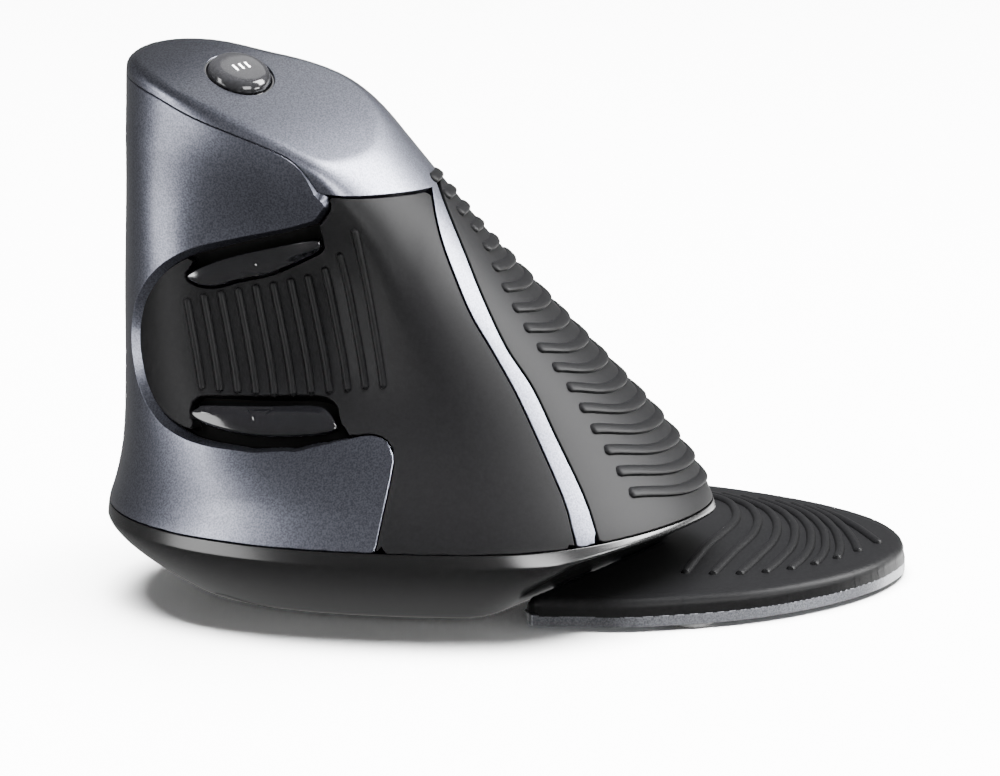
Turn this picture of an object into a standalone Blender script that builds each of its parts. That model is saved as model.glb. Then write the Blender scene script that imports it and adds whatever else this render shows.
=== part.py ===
"""Right-handed vertical computer mouse with a detachable palm rest.

Sizes are in millimetres in the body frame: +X is the user's right, +Y is forward,
+Z is up and the table is z = 0. make_object() turns them into metres and moves
them by SHIFT, so that the origin is under the middle of the whole object.
"""
import math

import bmesh
import bpy
import numpy as np
from mathutils import Matrix, Vector

MM = 0.001
SHIFT = (-12.6, -0.13, 0.0)

# ---- driving dimensions (mm) ----
PARTING_Z = 13.3            # seam between the upper shells and the base
SEAM = 0.3                  # gap between neighbouring shells
BUTTON_GAP = 0.45           # gap around every moving button
WALL = 1.8                  # shell thickness
BOTTOM_Z = 0.7              # underside of the base, above the feet
FOOT_HEIGHT = 0.7
CAST_CENTRE = (5.0, 18.0, 41.0)
CAST_SCALE = (20.0, 42.0, 38.0)

# Half-section profiles of the body: (height, distance from the body's own axis)
LEFT_PROFILE = [(0, -24.5), (13, -24.5), (16, -23.2), (20, -21.0), (26, -18.0), (34, -15.0),
                (44, -12.6), (54, -11.2), (64, -10.6), (80, -10.2)]
RIGHT_PROFILE = [(0, 30.0), (13, 30.0), (18, 30.6), (26, 30.2), (36, 28.0), (48, 23.5),
                 (60, 18.0), (70, 13.5), (80, 9.0)]
FRONT_PROFILE = [(0, 54.2), (13, 54.2), (16, 53.4), (20, 52.7), (28, 52.4), (45, 52.2),
                 (60, 51.4), (80, 50.8)]
REAR_PROFILE = [(0, -29.2), (13, -29.2), (17, -27.2), (22, -23.2), (30, -15.6), (40, -6.0),
                (50, 2.6), (58, 7.4), (66, 10.2), (80, 12.0)]
# Lip over the thumb scoop: (forward, height)
LIP_LINE = [(-30, 66.0), (10, 60.0), (18, 62.0), (24.4, 63.5), (30, 66.0), (40, 69.8),
            (46, 72.6), (52, 76.0)]
SECTION_POWER = 2.25        # superellipse exponent of every level section
SCOOP_DEPTH = 6.0           # how far the thumb side is hollowed under the lip
HULL_INSET = 12.5           # how far the base tucks in at its bottom
HULL_TOP = 11.5

# Flat cut under the rear, above the palm rest: a point of it and its outward normal
FACET_AT = (-1.6, -18.7, 9.2)
FACET_NORMAL = (-0.267, -0.506, -0.820)

# Panel edges seen from the side: (forward, height)
ROOF_EDGE = [(58.0, 75.6), (50.2, 72.0), (44.9, 70.2), (39.9, 68.1), (34.9, 66.3), (30.6, 64.7),
             (27.6, 63.4), (25.6, 62.0), (24.2, 60.3), (23.0, 58.4)]
THUMB_TOP = [(22.6, 58.1), (10.0, 56.8)]
STRIP_FRONT = [(9.7, 56.8), (7.7, 51.2), (5.6, 46.7), (2.9, 41.6), (-0.2, 37.0), (-3.6, 31.8),
               (-6.7, 26.4), (-9.5, 21.4), (-11.4, 17.6), (-13.2, 12.0)]
STRIP_REAR = [(-15.9, 12.0), (-14.0, 17.0), (-12.1, 20.7), (-8.9, 26.1), (-5.4, 32.1),
              (-1.7, 37.1), (1.8, 43.1), (5.1, 49.3), (7.8, 54.2), (9.7, 57.6)]
THUMB_CORNER = [(13.3, 12.0), (12.4, 17.7), (11.9, 21.2), (11.6, 24.1), (12.0, 25.5),
                (13.2, 26.6), (15.0, 27.0)]
THUMB_ARCH = [(15.0, 27.0), (19.1, 26.4), (24.9, 25.5), (29.7, 25.1), (35.5, 25.2),
              (40.3, 25.8), (43.6, 26.8), (46.0, 28.5), (47.8, 30.8), (48.8, 33.2), (49.3, 35.8),
              (49.0, 38.7), (47.9, 41.9), (45.8, 44.9), (43.0, 47.3), (39.5, 49.0), (34.4, 50.2),
              (28.2, 51.6), (23.6, 53.2), (22.3, 54.5), (21.3, 56.2), (21.8, 57.7)]
UPPER_THUMB_KEY = [(41.2, 46.2), (36.4, 48.4), (29.7, 50.0), (24.6, 51.1), (23.3, 50.9),
                   (23.3, 49.8), (24.9, 48.7), (29.7, 46.5), (34.7, 45.4), (37.3, 44.7),
                   (40.0, 44.9)]
LOWER_THUMB_KEY = [(40.0, 27.5), (39.4, 28.6), (37.8, 29.2), (28.9, 29.6), (23.4, 29.8),
                   (21.3, 29.2), (20.2, 27.7), (25.0, 26.9), (30.0, 26.5), (35.3, 26.6)]

# Right side: one opening, filled by two keys, the wheel bezel and the grip
SIDE_SPLIT_X = 3.0          # plane between the thumb side and the finger side
KEY_FRONT_Y = 48.4
KEY_REAR_Y = 14.6
BEZEL_Z = (35.2, 46.2)
LOWER_KEY_Z = 16.2

ROUND_KEY_AT = (0.0, 35.2, 72.2)
ROUND_KEY_AXIS = (-0.334, -0.267, 0.903)
ROUND_KEY_RADIUS = 4.35

WHEEL_AT = (19.0, 33.0, 40.7)
WHEEL_RADIUS = 10.5
WHEEL_WIDTH = 6.0
AXLE_RADIUS = 1.4

BATTERY_AT = (-3.5, -6.0, 11.0)    # rear end of the cell's axis
BATTERY_RADIUS = 5.25
BATTERY_LENGTH = 44.5

PALM_DIRECTION = (0.4, -0.9165, 0.0)
PALM_RIM = [(-13.4, -5.8), (-12.9, -13.0), (-12.0, -20.0), (-8.0, -31.0), (-4.0, -38.0),
            (2.0, -45.0), (8.0, -49.8), (13.0, -52.4), (19.0, -54.0), (26.0, -53.0),
            (33.0, -49.0), (39.0, -42.0), (43.5, -33.5), (47.0, -24.0), (49.3, -13.0),
            (50.0, -2.0), (48.8, 8.0), (45.5, 17.0), (40.0, 23.5), (32.5, 28.0)]
PALM_END = [(22.0, 27.0), (10.0, 10.0), (-4.0, -4.0)]
PALM_BAND_Z = (0.75, 2.3)
PALM_EDGE_Z = 4.4

SILVER = (0.16, 0.165, 0.19)
BLACK = (0.012, 0.012, 0.014)
RUBBER = (0.045, 0.046, 0.05)


# ---- the body's shape ----
def curve(knots, at):
    """Smooth cubic through (place, value) knots."""
    table = np.array(knots, float)
    place, value = table[:, 0], table[:, 1]
    slope = np.diff(value) / np.diff(place)
    tangent = np.concatenate([[slope[0]], (slope[1:] + slope[:-1]) / 2, [slope[-1]]])
    at = np.clip(at, place[0], place[-1])
    k = np.clip(np.searchsorted(place, at, side="right") - 1, 0, len(place) - 2)
    step = place[k + 1] - place[k]
    u = (at - place[k]) / step
    return ((1 + 2 * u) * (1 - u) ** 2 * value[k] + u * (1 - u) ** 2 * step * tangent[k]
            + u * u * (3 - 2 * u) * value[k + 1] + u * u * (u - 1) * step * tangent[k + 1])


def ease(low, high, at):
    """0 below low, 1 above high, smooth between."""
    u = np.clip((at - low) / (high - low), 0, 1)
    return u * u * (3 - 2 * u)


def soft_max(a, b, radius):
    """Larger of two fields, rounded over the given radius."""
    h = np.maximum(radius - np.abs(a - b), 0)
    return np.maximum(a, b) + h * h / (4 * radius)


def scoop(y, z):
    """Depth of the hollow under the lip on the thumb side."""
    top = curve(LIP_LINE, y)
    under_lip = 1 - ease(top - 19.0, top - 0.8, z)
    above_flare = ease(17.0, 36.0, z)
    behind_nose = 1 - ease(24.0, 53.0, y)
    middle = 14 + 0.35 * (z - 40)
    spread = np.clip(9 - 0.25 * (z - 40), 3.0, 12.0)
    before_palm = ease(middle - spread, middle + spread, y)
    return SCOOP_DEPTH * under_lip * above_flare * behind_nose * before_palm


def side_field(x, y, z):
    """Signed distance, roughly, to the upright walls."""
    inset = HULL_INSET * np.clip((HULL_TOP - z) / 11.0, 0, 1.2) ** 1.35
    left, right = curve(LEFT_PROFILE, z), curve(RIGHT_PROFILE, z)
    front, rear = curve(FRONT_PROFILE, z), curve(REAR_PROFILE, z)
    middle_x = np.clip(0.5 * (left + right), 3, 6)
    middle_y = 0.5 * (front + rear) + 2
    half_left = middle_x - left - inset - scoop(y, z)
    half_right = right - middle_x - inset
    half_front = front - middle_y - inset
    half_rear = middle_y - rear - inset
    across = (x - middle_x) / np.where(x < middle_x, half_left, half_right)
    along = (y - middle_y) / np.where(y > middle_y, half_front, half_rear)
    power = SECTION_POWER
    ratio = (np.abs(across) ** power + np.abs(along) ** power + 1e-12) ** (1 / power)
    return np.hypot(x - middle_x, y - middle_y) * (1 - 1 / ratio)


def roof_field(x, y, z):
    """Signed distance, roughly, to the sloping top."""
    t = (y - 35) / 10
    height = 72.2 + 3.0 * t - 0.95 * t * t + (0.37 - 0.1 * t) * np.clip(x, -30, 40) - 0.006 * x * x
    return (z - height) * 0.88


def facet_field(p):
    """Signed distance to the flat cut under the rear, which clears the palm rest."""
    away = (p - np.array(FACET_AT)) @ np.array(FACET_NORMAL)
    return away - 2.5 * ease(10.5, PARTING_Z, p[..., 2])


def body_field(p):
    """Below 0 inside the body."""
    x, y, z = p[..., 0], p[..., 1], p[..., 2]
    at_rear, at_right = ease(24, 10, y), ease(-2, 12, x)
    radius = 1.5 + 11 * at_rear + 6 * at_right * (1 - at_rear)
    upper = soft_max(side_field(x, y, z), roof_field(x, y, z), radius)
    return soft_max(soft_max(upper, BOTTOM_Z - z, 1.0), facet_field(p), 1.8)


def icosphere(levels):
    """Unit icosphere as vertex and face arrays."""
    ball = bmesh.new()
    bmesh.ops.create_icosphere(ball, subdivisions=levels, radius=1.0)
    verts = np.array([v.co[:] for v in ball.verts])
    faces = np.array([[v.index for v in f.verts] for f in ball.faces])
    ball.free()
    return verts, faces


def envelope(level, offset):
    """Closed surface of the body, grown by offset."""
    verts, faces = icosphere(level)
    rays = verts * np.array(CAST_SCALE)
    rays /= np.linalg.norm(rays, axis=1)[:, None]
    low, high = np.full(len(rays), 1.0), np.full(len(rays), 80.0)
    for _ in range(30):
        middle = (low + high) / 2
        outside = body_field(CAST_CENTRE + rays * middle[:, None]) > offset
        high = np.where(outside, middle, high)
        low = np.where(outside, low, middle)
    return CAST_CENTRE + rays * low[:, None], faces


def wall_mesh(outer, inner):
    """Hollow body: outer surface and reversed inner surface."""
    v0, f0 = envelope(5, outer)
    v1, f1 = envelope(4, inner)
    return np.concatenate([v0, v1]), np.concatenate([f0, f1[:, ::-1] + len(v0)])


# ---- outlines ----
def spline(points, steps=3):
    """Catmull-Rom curve through open points."""
    p = np.array(points, float)
    p = np.concatenate([[2 * p[0] - p[1]], p, [2 * p[-1] - p[-2]]])
    out = []
    for k in range(1, len(p) - 2):
        a, b, c, d = p[k - 1:k + 3]
        for u in np.arange(steps) / steps:
            out.append(0.5 * (2 * b + (c - a) * u + (2 * a - 5 * b + 4 * c - d) * u ** 2
                              + (3 * b - a - 3 * c + d) * u ** 3))
    out.append(p[-2])
    return [tuple(q) for q in out]


def closed_spline(points, steps=3):
    """Catmull-Rom curve through closed points."""
    n = len(points)
    around = [points[(k - 2) % n] for k in range(n + 5)]
    return spline(around, steps)[2 * steps:(n + 2) * steps]


def turn_area(outline):
    """Signed area, positive for a counter-clockwise outline."""
    p = np.array(outline)
    q = np.roll(p, -1, axis=0)
    return 0.5 * float(np.sum(p[:, 0] * q[:, 1] - q[:, 0] * p[:, 1]))


def grow(outline, amount):
    """Outline moved outward by amount."""
    p = np.array(outline, float)
    if turn_area(outline) < 0:
        p = p[::-1]
    edge = np.roll(p, -1, axis=0) - p
    edge /= np.linalg.norm(edge, axis=1)[:, None] + 1e-12
    normal = np.stack([edge[:, 1], -edge[:, 0]], axis=1)
    mean = normal + np.roll(normal, 1, axis=0)
    mean /= np.linalg.norm(mean, axis=1)[:, None] + 1e-12
    reach = amount / np.clip(np.sum(mean * normal, axis=1), 0.4, 1)
    return [tuple(q) for q in p + mean * reach[:, None]]


def roof_outline():
    """Roof with the silver strip that runs down behind the thumb panel."""
    return (spline(ROOF_EDGE) + spline(THUMB_TOP) + spline(STRIP_FRONT) + spline(STRIP_REAR)
            + [(4.0, 61.0), (4.0, 90.0), (64.0, 90.0)])


def thumb_outline():
    """Black thumb panel, arch to strip."""
    strip = [(y + SEAM, z - 0.1) for y, z in spline(STRIP_FRONT)]
    return spline(THUMB_CORNER)[:-1] + spline(THUMB_ARCH) + [(10.3, 56.5)] + strip[1:]


def behind_arch():
    """Everything behind the thumb panel's front edge."""
    return (spline(THUMB_CORNER)[:-1] + spline(THUMB_ARCH)
            + [(22.0, 62.0), (10.0, 95.0), (-60.0, 95.0), (-60.0, 12.0)])


def grip_outline():
    """Ribbed rubber back."""
    strip = [(y - SEAM, z + 0.1) for y, z in spline(STRIP_REAR)]
    return strip + [(9.3, 58.0), (3.7, 60.8), (-45.0, 75.0), (-45.0, 12.0)]


def palm_side_outline():
    """Palm grip on the finger side, behind the keys."""
    strip = [(y + SEAM, z - 0.1) for y, z in spline(STRIP_FRONT)]
    return [(KEY_REAR_Y - 0.6, 12.0), (KEY_REAR_Y - 0.6, 56.9), (10.3, 56.5)] + strip[1:]


def upper_key_outline():
    """Upper finger key, under the roof's edge."""
    edge = spline(ROOF_EDGE)
    roof = [(y, z - BUTTON_GAP) for y, z in edge if y < KEY_FRONT_Y]
    places, heights = zip(*edge[::-1])
    front_z = float(np.interp(KEY_FRONT_Y, places, heights)) - BUTTON_GAP
    return ([(KEY_FRONT_Y, front_z)] + roof + [(22.0, 57.4), (KEY_REAR_Y, 56.7)]
            + [(KEY_REAR_Y, BEZEL_Z[1] + BUTTON_GAP), (KEY_FRONT_Y, BEZEL_Z[1] + BUTTON_GAP)])


def rectangle(low, high, radius=0.0, steps=5):
    """Rectangle with rounded corners."""
    if radius <= 0:
        return [low, (high[0], low[1]), high, (low[0], high[1])]
    out = []
    for corner, start in (((high[0], high[1]), 0), ((low[0], high[1]), 90),
                          ((low[0], low[1]), 180), ((high[0], low[1]), 270)):
        cx = corner[0] + (-radius if corner[0] == high[0] else radius)
        cy = corner[1] + (-radius if corner[1] == high[1] else radius)
        for k in range(steps + 1):
            a = math.radians(start + 90 * k / steps)
            out.append((cx + radius * math.cos(a), cy + radius * math.sin(a)))
    return out


# ---- objects ----
def material(name, colour, metallic=0.0, roughness=0.5):
    """Plain Principled material of one node."""
    made = bpy.data.materials.new(name)
    made.use_nodes = True
    shader = made.node_tree.nodes["Principled BSDF"]
    shader.inputs["Base Color"].default_value = (*colour, 1.0)
    shader.inputs["Metallic"].default_value = metallic
    shader.inputs["Roughness"].default_value = roughness
    made.diffuse_color = (*colour, 1.0)
    return made


def make_object(name, verts, faces, look=None, origin=(0, 0, 0), angle=35):
    """Links one mesh; verts and origin are in body-frame millimetres."""
    local = (np.array(verts, float) - np.array(origin, float)) * MM
    mesh = bpy.data.meshes.new(name)
    mesh.from_pydata(local.tolist(), [], [tuple(int(i) for i in f) for f in faces])
    mesh.polygons.foreach_set("use_smooth", [True] * len(mesh.polygons))
    mesh.update()
    mesh.set_sharp_from_angle(angle=math.radians(angle))
    made = bpy.data.objects.new(name, mesh)
    made.location = Vector((np.array(origin, float) + np.array(SHIFT)) * MM)
    bpy.context.collection.objects.link(made)
    if look is not None:
        mesh.materials.append(material(name, *look))
    return made


def hide_cutter(cutter):
    """Marks an object as a construction tool."""
    cutter.hide_render = True
    cutter.display_type = "WIRE"
    return cutter


def combine(target, tool, operation):
    """Adds one exact Boolean step."""
    step = target.modifiers.new(operation.lower() + "_" + tool.name, "BOOLEAN")
    step.operation = operation
    step.solver = "EXACT"
    step.object = tool
    return target


def prism_mesh(outline, low, high, along="X"):
    """Outline pushed along X (outline is y, z) or Z (outline is x, y)."""
    flat = outline if turn_area(outline) > 0 else outline[::-1]
    n = len(flat)
    if along == "X":
        verts = [(low, a, b) for a, b in flat] + [(high, a, b) for a, b in flat]
    else:
        verts = [(a, b, low) for a, b in flat] + [(a, b, high) for a, b in flat]
    faces = [list(range(n))[::-1], list(range(n, 2 * n))]
    faces += [[k, (k + 1) % n, n + (k + 1) % n, n + k] for k in range(n)]
    return verts, faces


def prism(name, outline, low, high, along="X", look=None, origin=(0, 0, 0)):
    """Prism node."""
    verts, faces = prism_mesh(outline, low, high, along)
    return make_object(name, verts, faces, look, origin)


def prism_tool(name, outline, low, high, along="X"):
    """Prism used for cutting."""
    return hide_cutter(prism(name, outline, low, high, along))


def box_mesh(low, high, bevel=0.0):
    """Box between two corners, edges eased by bevel."""
    made = bmesh.new()
    bmesh.ops.create_cube(made, size=1.0)
    size = np.array(high, float) - np.array(low, float)
    middle = (np.array(high, float) + np.array(low, float)) / 2
    for v in made.verts:
        v.co = Vector(np.array(v.co) * size + middle)
    if bevel:
        bmesh.ops.bevel(made, geom=made.edges[:], offset=bevel, segments=2, affect="EDGES",
                        profile=0.5)
    verts = [v.co[:] for v in made.verts]
    made.verts.index_update()
    faces = [[v.index for v in f.verts] for f in made.faces]
    made.free()
    return verts, faces


def box(name, low, high, look=None, bevel=0.0, origin=(0, 0, 0)):
    """Box node."""
    verts, faces = box_mesh(low, high, bevel)
    return make_object(name, verts, faces, look, origin)


def box_tool(name, low, high):
    """Box used for cutting or joining."""
    return hide_cutter(box(name, low, high))


def lathe_mesh(profile, at, axis=(0, 0, 1), sides=32):
    """(radius, height) profile turned about an axis; radius 0 closes an end."""
    turn = Vector((0, 0, 1)).rotation_difference(Vector(axis).normalized()).to_matrix()
    verts, rows = [], []
    for radius, height in profile:
        if radius <= 0:
            rows.append([len(verts)])
            verts.append(Vector((0, 0, height)))
            continue
        rows.append(list(range(len(verts), len(verts) + sides)))
        for k in range(sides):
            a = 2 * math.pi * k / sides
            verts.append(Vector((radius * math.cos(a), radius * math.sin(a), height)))
    ring = profile[0][0] > 0 and profile[-1][0] > 0
    pairs = list(zip(rows, rows[1:])) + ([(rows[-1], rows[0])] if ring else [])
    faces = []
    for a, b in pairs:
        for k in range(sides):
            j = (k + 1) % sides
            if len(a) == 1:
                faces.append([a[0], b[j], b[k]])
            elif len(b) == 1:
                faces.append([a[k], a[j], b[0]])
            else:
                faces.append([a[k], a[j], b[j], b[k]])
    origin = Vector(at)
    return [tuple(origin + turn @ v) for v in verts], faces


def lathe(name, profile, at, axis=(0, 0, 1), look=None, sides=32, origin=None):
    """Turned node; its origin is on its axis. The profile runs bottom up."""
    verts, faces = lathe_mesh(profile, at, axis, sides)
    made = make_object(name, verts, faces, look, at if origin is None else origin)
    face_out(made)
    return made


def face_out(made):
    """Turns every face of a closed mesh outward."""
    work = bmesh.new()
    work.from_mesh(made.data)
    bmesh.ops.recalc_face_normals(work, faces=work.faces[:])
    work.to_mesh(made.data)
    work.free()


def rod_tool(name, at, radius, low, high, axis=(0, 0, 1)):
    """Cylinder used for cutting or joining."""
    return hide_cutter(lathe(name, [(0, low), (radius, low), (radius, high), (0, high)], at,
                             axis, sides=32))


def shell(name, look, outer=0.0, inner=-WALL, origin=(0, 0, 0)):
    """Whole hollow body, to be cut down to one panel."""
    verts, faces = wall_mesh(outer, inner)
    return make_object(name, verts, faces, look, origin)


# ---- shells ----
def build_shells():
    """Outer panels above the seam, and the base below it."""
    far = 60.0
    above = box_tool("cut_above_seam", (-far, -far, PARTING_Z + SEAM / 2), (far, far, 99))
    paint = (SILVER, 0.6, 0.35)

    roof = shell("roof_shell", paint)
    combine(roof, prism_tool("cut_roof", roof_outline(), -far, far), "INTERSECT")
    combine(roof, above, "INTERSECT")
    axis = ROUND_KEY_AXIS
    combine(roof, rod_tool("cut_round_key", ROUND_KEY_AT, ROUND_KEY_RADIUS + 0.35, -5, 5, axis),
            "DIFFERENCE")

    front = shell("front_shell", paint)
    combine(front, above, "INTERSECT")
    combine(front, prism_tool("cut_under_roof", grow(roof_outline(), SEAM), -far, far),
            "DIFFERENCE")
    combine(front, prism_tool("cut_behind_arch", grow(behind_arch(), SEAM), -far, SIDE_SPLIT_X),
            "DIFFERENCE")
    gap = BUTTON_GAP
    opening = [(KEY_FRONT_Y + gap, 95), (KEY_FRONT_Y + gap, LOWER_KEY_Z - gap),
               (KEY_REAR_Y - gap, LOWER_KEY_Z - gap), (KEY_REAR_Y - gap, 5.0), (-60.0, 5.0),
               (-60.0, 95)]
    combine(front, prism_tool("cut_finger_opening", opening, SIDE_SPLIT_X - 0.1, far),
            "DIFFERENCE")

    thumb = shell("thumb_panel", (BLACK, 0.0, 0.45))
    combine(thumb, above, "INTERSECT")
    combine(thumb, prism_tool("cut_thumb", thumb_outline(), -far, SIDE_SPLIT_X), "INTERSECT")
    for name, outline in (("cut_upper_thumb_key", UPPER_THUMB_KEY),
                          ("cut_lower_thumb_key", LOWER_THUMB_KEY)):
        hole = grow(closed_spline(outline), BUTTON_GAP)
        combine(thumb, prism_tool(name, hole, -far, 2.0), "DIFFERENCE")

    grip = shell("back_grip", (RUBBER, 0.0, 0.8))
    combine(grip, above, "INTERSECT")
    combine(grip, prism_tool("cut_grip", grip_outline(), -far, far), "INTERSECT")

    palm = shell("palm_side_grip", (RUBBER, 0.0, 0.8))
    combine(palm, above, "INTERSECT")
    combine(palm, prism_tool("cut_palm", palm_side_outline(), SIDE_SPLIT_X + SEAM, far),
            "INTERSECT")

    bezel = shell("wheel_bezel", (BLACK, 0.0, 0.15))
    frame = rectangle((KEY_REAR_Y, BEZEL_Z[0]), (KEY_FRONT_Y, BEZEL_Z[1]))
    combine(bezel, prism_tool("cut_bezel", frame, SIDE_SPLIT_X + SEAM, far), "INTERSECT")
    slot = rectangle((WHEEL_AT[1] - 12.2, WHEEL_AT[2] - WHEEL_WIDTH / 2 - 0.5),
                     (WHEEL_AT[1] + 12.2, WHEEL_AT[2] + WHEEL_WIDTH / 2 + 0.5), 2.0)
    combine(bezel, prism_tool("cut_wheel_slot", slot, 0, far), "DIFFERENCE")


def build_keys():
    """Finger keys, thumb keys and the round key on the roof."""
    gloss = (BLACK, 0.0, 0.12)
    paint = (SILVER, 0.6, 0.35)
    far = 60.0
    hinge = (21.0, KEY_REAR_Y, 40.0)
    upper = shell("upper_finger_key", paint, origin=hinge)
    combine(upper, prism_tool("cut_upper_key", upper_key_outline(), SIDE_SPLIT_X + 1.6, far),
            "INTERSECT")
    combine(upper, box_tool("join_upper_stem", (11.9, 40.0, 54.0), (17.6, 43.0, 58.0)), "UNION")
    lower = shell("lower_finger_key", paint, origin=hinge)
    key = rectangle((KEY_REAR_Y, LOWER_KEY_Z), (KEY_FRONT_Y, BEZEL_Z[0] - BUTTON_GAP))
    combine(lower, prism_tool("cut_lower_key", key, SIDE_SPLIT_X + 1, far), "INTERSECT")
    combine(lower, box_tool("join_lower_stem", (11.9, 40.0, 24.0), (25.0, 43.0, 28.0)), "UNION")

    forward = shell("upper_thumb_key", gloss, 0.9, -1.5)
    combine(forward, prism_tool("cut_forward", closed_spline(UPPER_THUMB_KEY), -far, 2.0),
            "INTERSECT")
    back = shell("lower_thumb_key", gloss, 0.9, -1.5)
    combine(back, prism_tool("cut_back", closed_spline(LOWER_THUMB_KEY), -far, 2.0), "INTERSECT")
    combine(back, box_tool("join_back_stem", (-11.5, 28.5, 26.9), (-5.9, 31.5, 29.0)), "UNION")

    r = ROUND_KEY_RADIUS
    profile = [(0, -4.6), (1.4, -4.6), (1.4, -2.2), (r, -2.2), (r, 0.35), (r - 0.5, 0.85), (0, 0.85)]
    lathe("round_top_key", profile, ROUND_KEY_AT, ROUND_KEY_AXIS, (BLACK, 0.0, 0.2), sides=48)


def build_wheel():
    """Scroll wheel on an upright axle, in a cradle that can be pressed."""
    x, y, z = WHEEL_AT
    half = WHEEL_WIDTH / 2
    hub = [(0, -8.4), (AXLE_RADIUS, -8.4), (AXLE_RADIUS, -half + 0.4), (7.6, -half + 0.4),
           (7.6, half - 0.4), (AXLE_RADIUS, half - 0.4), (AXLE_RADIUS, 4.6), (0, 4.6)]
    lathe("wheel_hub", hub, WHEEL_AT, (0, 0, 1), ((0.03, 0.03, 0.035), 0.0, 0.4), sides=40)
    r = WHEEL_RADIUS
    tyre = [(7.65, -half), (r - 0.8, -half), (r, -half + 0.9), (r, half - 0.9), (r - 0.8, half),
            (7.65, half)]
    lathe("wheel_tyre", tyre, WHEEL_AT, (0, 0, 1), ((0.02, 0.02, 0.022), 0.0, 0.75), sides=48)

    plastic = ((0.05, 0.05, 0.055), 0.0, 0.5)
    cradle = box("wheel_cradle", (6.9, y - 6, z - 4.8), (8.0, y + 6, z + 4.8), plastic, 0.1)
    for name, low in (("join_cradle_floor", z - 4.8), ("join_cradle_roof", z + 3.8)):
        combine(cradle, box_tool(name, (7.5, y - 3.5, low), (x + 2.3, y + 3.5, low + 1.0)), "UNION")
    combine(cradle, rod_tool("cut_axle_hole", WHEEL_AT, AXLE_RADIUS + 0.06, -9, 9), "DIFFERENCE")
    encoder = box("wheel_encoder", (x - 3, y - 3, z - 8.0), (x + 3, y + 3, z - 5.0),
                  ((0.02, 0.06, 0.03), 0.0, 0.4), 0.2)
    combine(encoder, rod_tool("cut_encoder", WHEEL_AT, AXLE_RADIUS + 0.06, -9, 0), "DIFFERENCE")


# ---- inside ----
def build_chassis():
    """Inner frame, its two upright boards and every switch."""
    plate = [(-13, 2), (-13, 32), (-4, 42.5), (11, 42.5), (19, 33), (19, 0), (14, -4), (-6, -4)]
    chassis = prism("chassis_frame", plate, 18.8, 20.4, "Z", ((0.06, 0.06, 0.065), 0.0, 0.6))
    web = [(17, 20), (45, 20), (45.5, 60), (30, 60), (22, 52), (17, 42)]
    combine(chassis, prism_tool("join_web", web, 0.6, 2.6), "UNION")
    for name, at in (("a", (14.0, 1.0, 0)), ("b", (7.5, 39.5, 0))):
        post = [(0, 12.0), (1.1, 12.0), (1.1, 4.7), (2.3, 4.7), (2.3, 19.5), (0, 19.5)]
        combine(chassis, hide_cutter(lathe("join_post_" + name, post, at, sides=24)), "UNION")
    board = ((0.01, 0.09, 0.04), 0.0, 0.4)
    prism("finger_board", rectangle((18, 21), (45, 59), 1.0), 3.0, 4.6, "X", board)
    prism("thumb_board", rectangle((22, 24), (41, 51), 1.0), -1.5, 0.0, "X", board)
    dark = ((0.015, 0.015, 0.017), 0.0, 0.35)
    box("upper_finger_switch", (4.7, 33.5, 53.0), (11.2, 45.0, 58.6), dark, 0.3)
    box("lower_finger_switch", (4.7, 35, 23.2), (11.2, 47.0, 28.8), dark, 0.3)
    box("wheel_switch", (4.7, 30, 38.0), (6.2, 36, 43.4), dark, 0.2)
    box("upper_thumb_switch", (-4.1, 29.5, 44.6), (-1.6, 34.5, 48.0), dark, 0.2)
    box("lower_thumb_switch", (-5.0, 27.5, 25.4), (-1.6, 32.5, 29.0), dark, 0.2)
    top = Vector(ROUND_KEY_AT) - Vector(ROUND_KEY_AXIS) * 5.3
    switch = [(0, -3.2), (3.0, -3.2), (3.0, -0.8), (1.2, -0.8), (1.2, 0.0), (0, 0.0)]
    lathe("top_key_switch", switch, tuple(top), ROUND_KEY_AXIS, dark, sides=24)
    board_disc = [(0, -4.5), (5.0, -4.5), (5.0, -3.3), (0, -3.3)]
    lathe("top_key_board", board_disc, tuple(top), ROUND_KEY_AXIS, board, sides=32)


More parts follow.
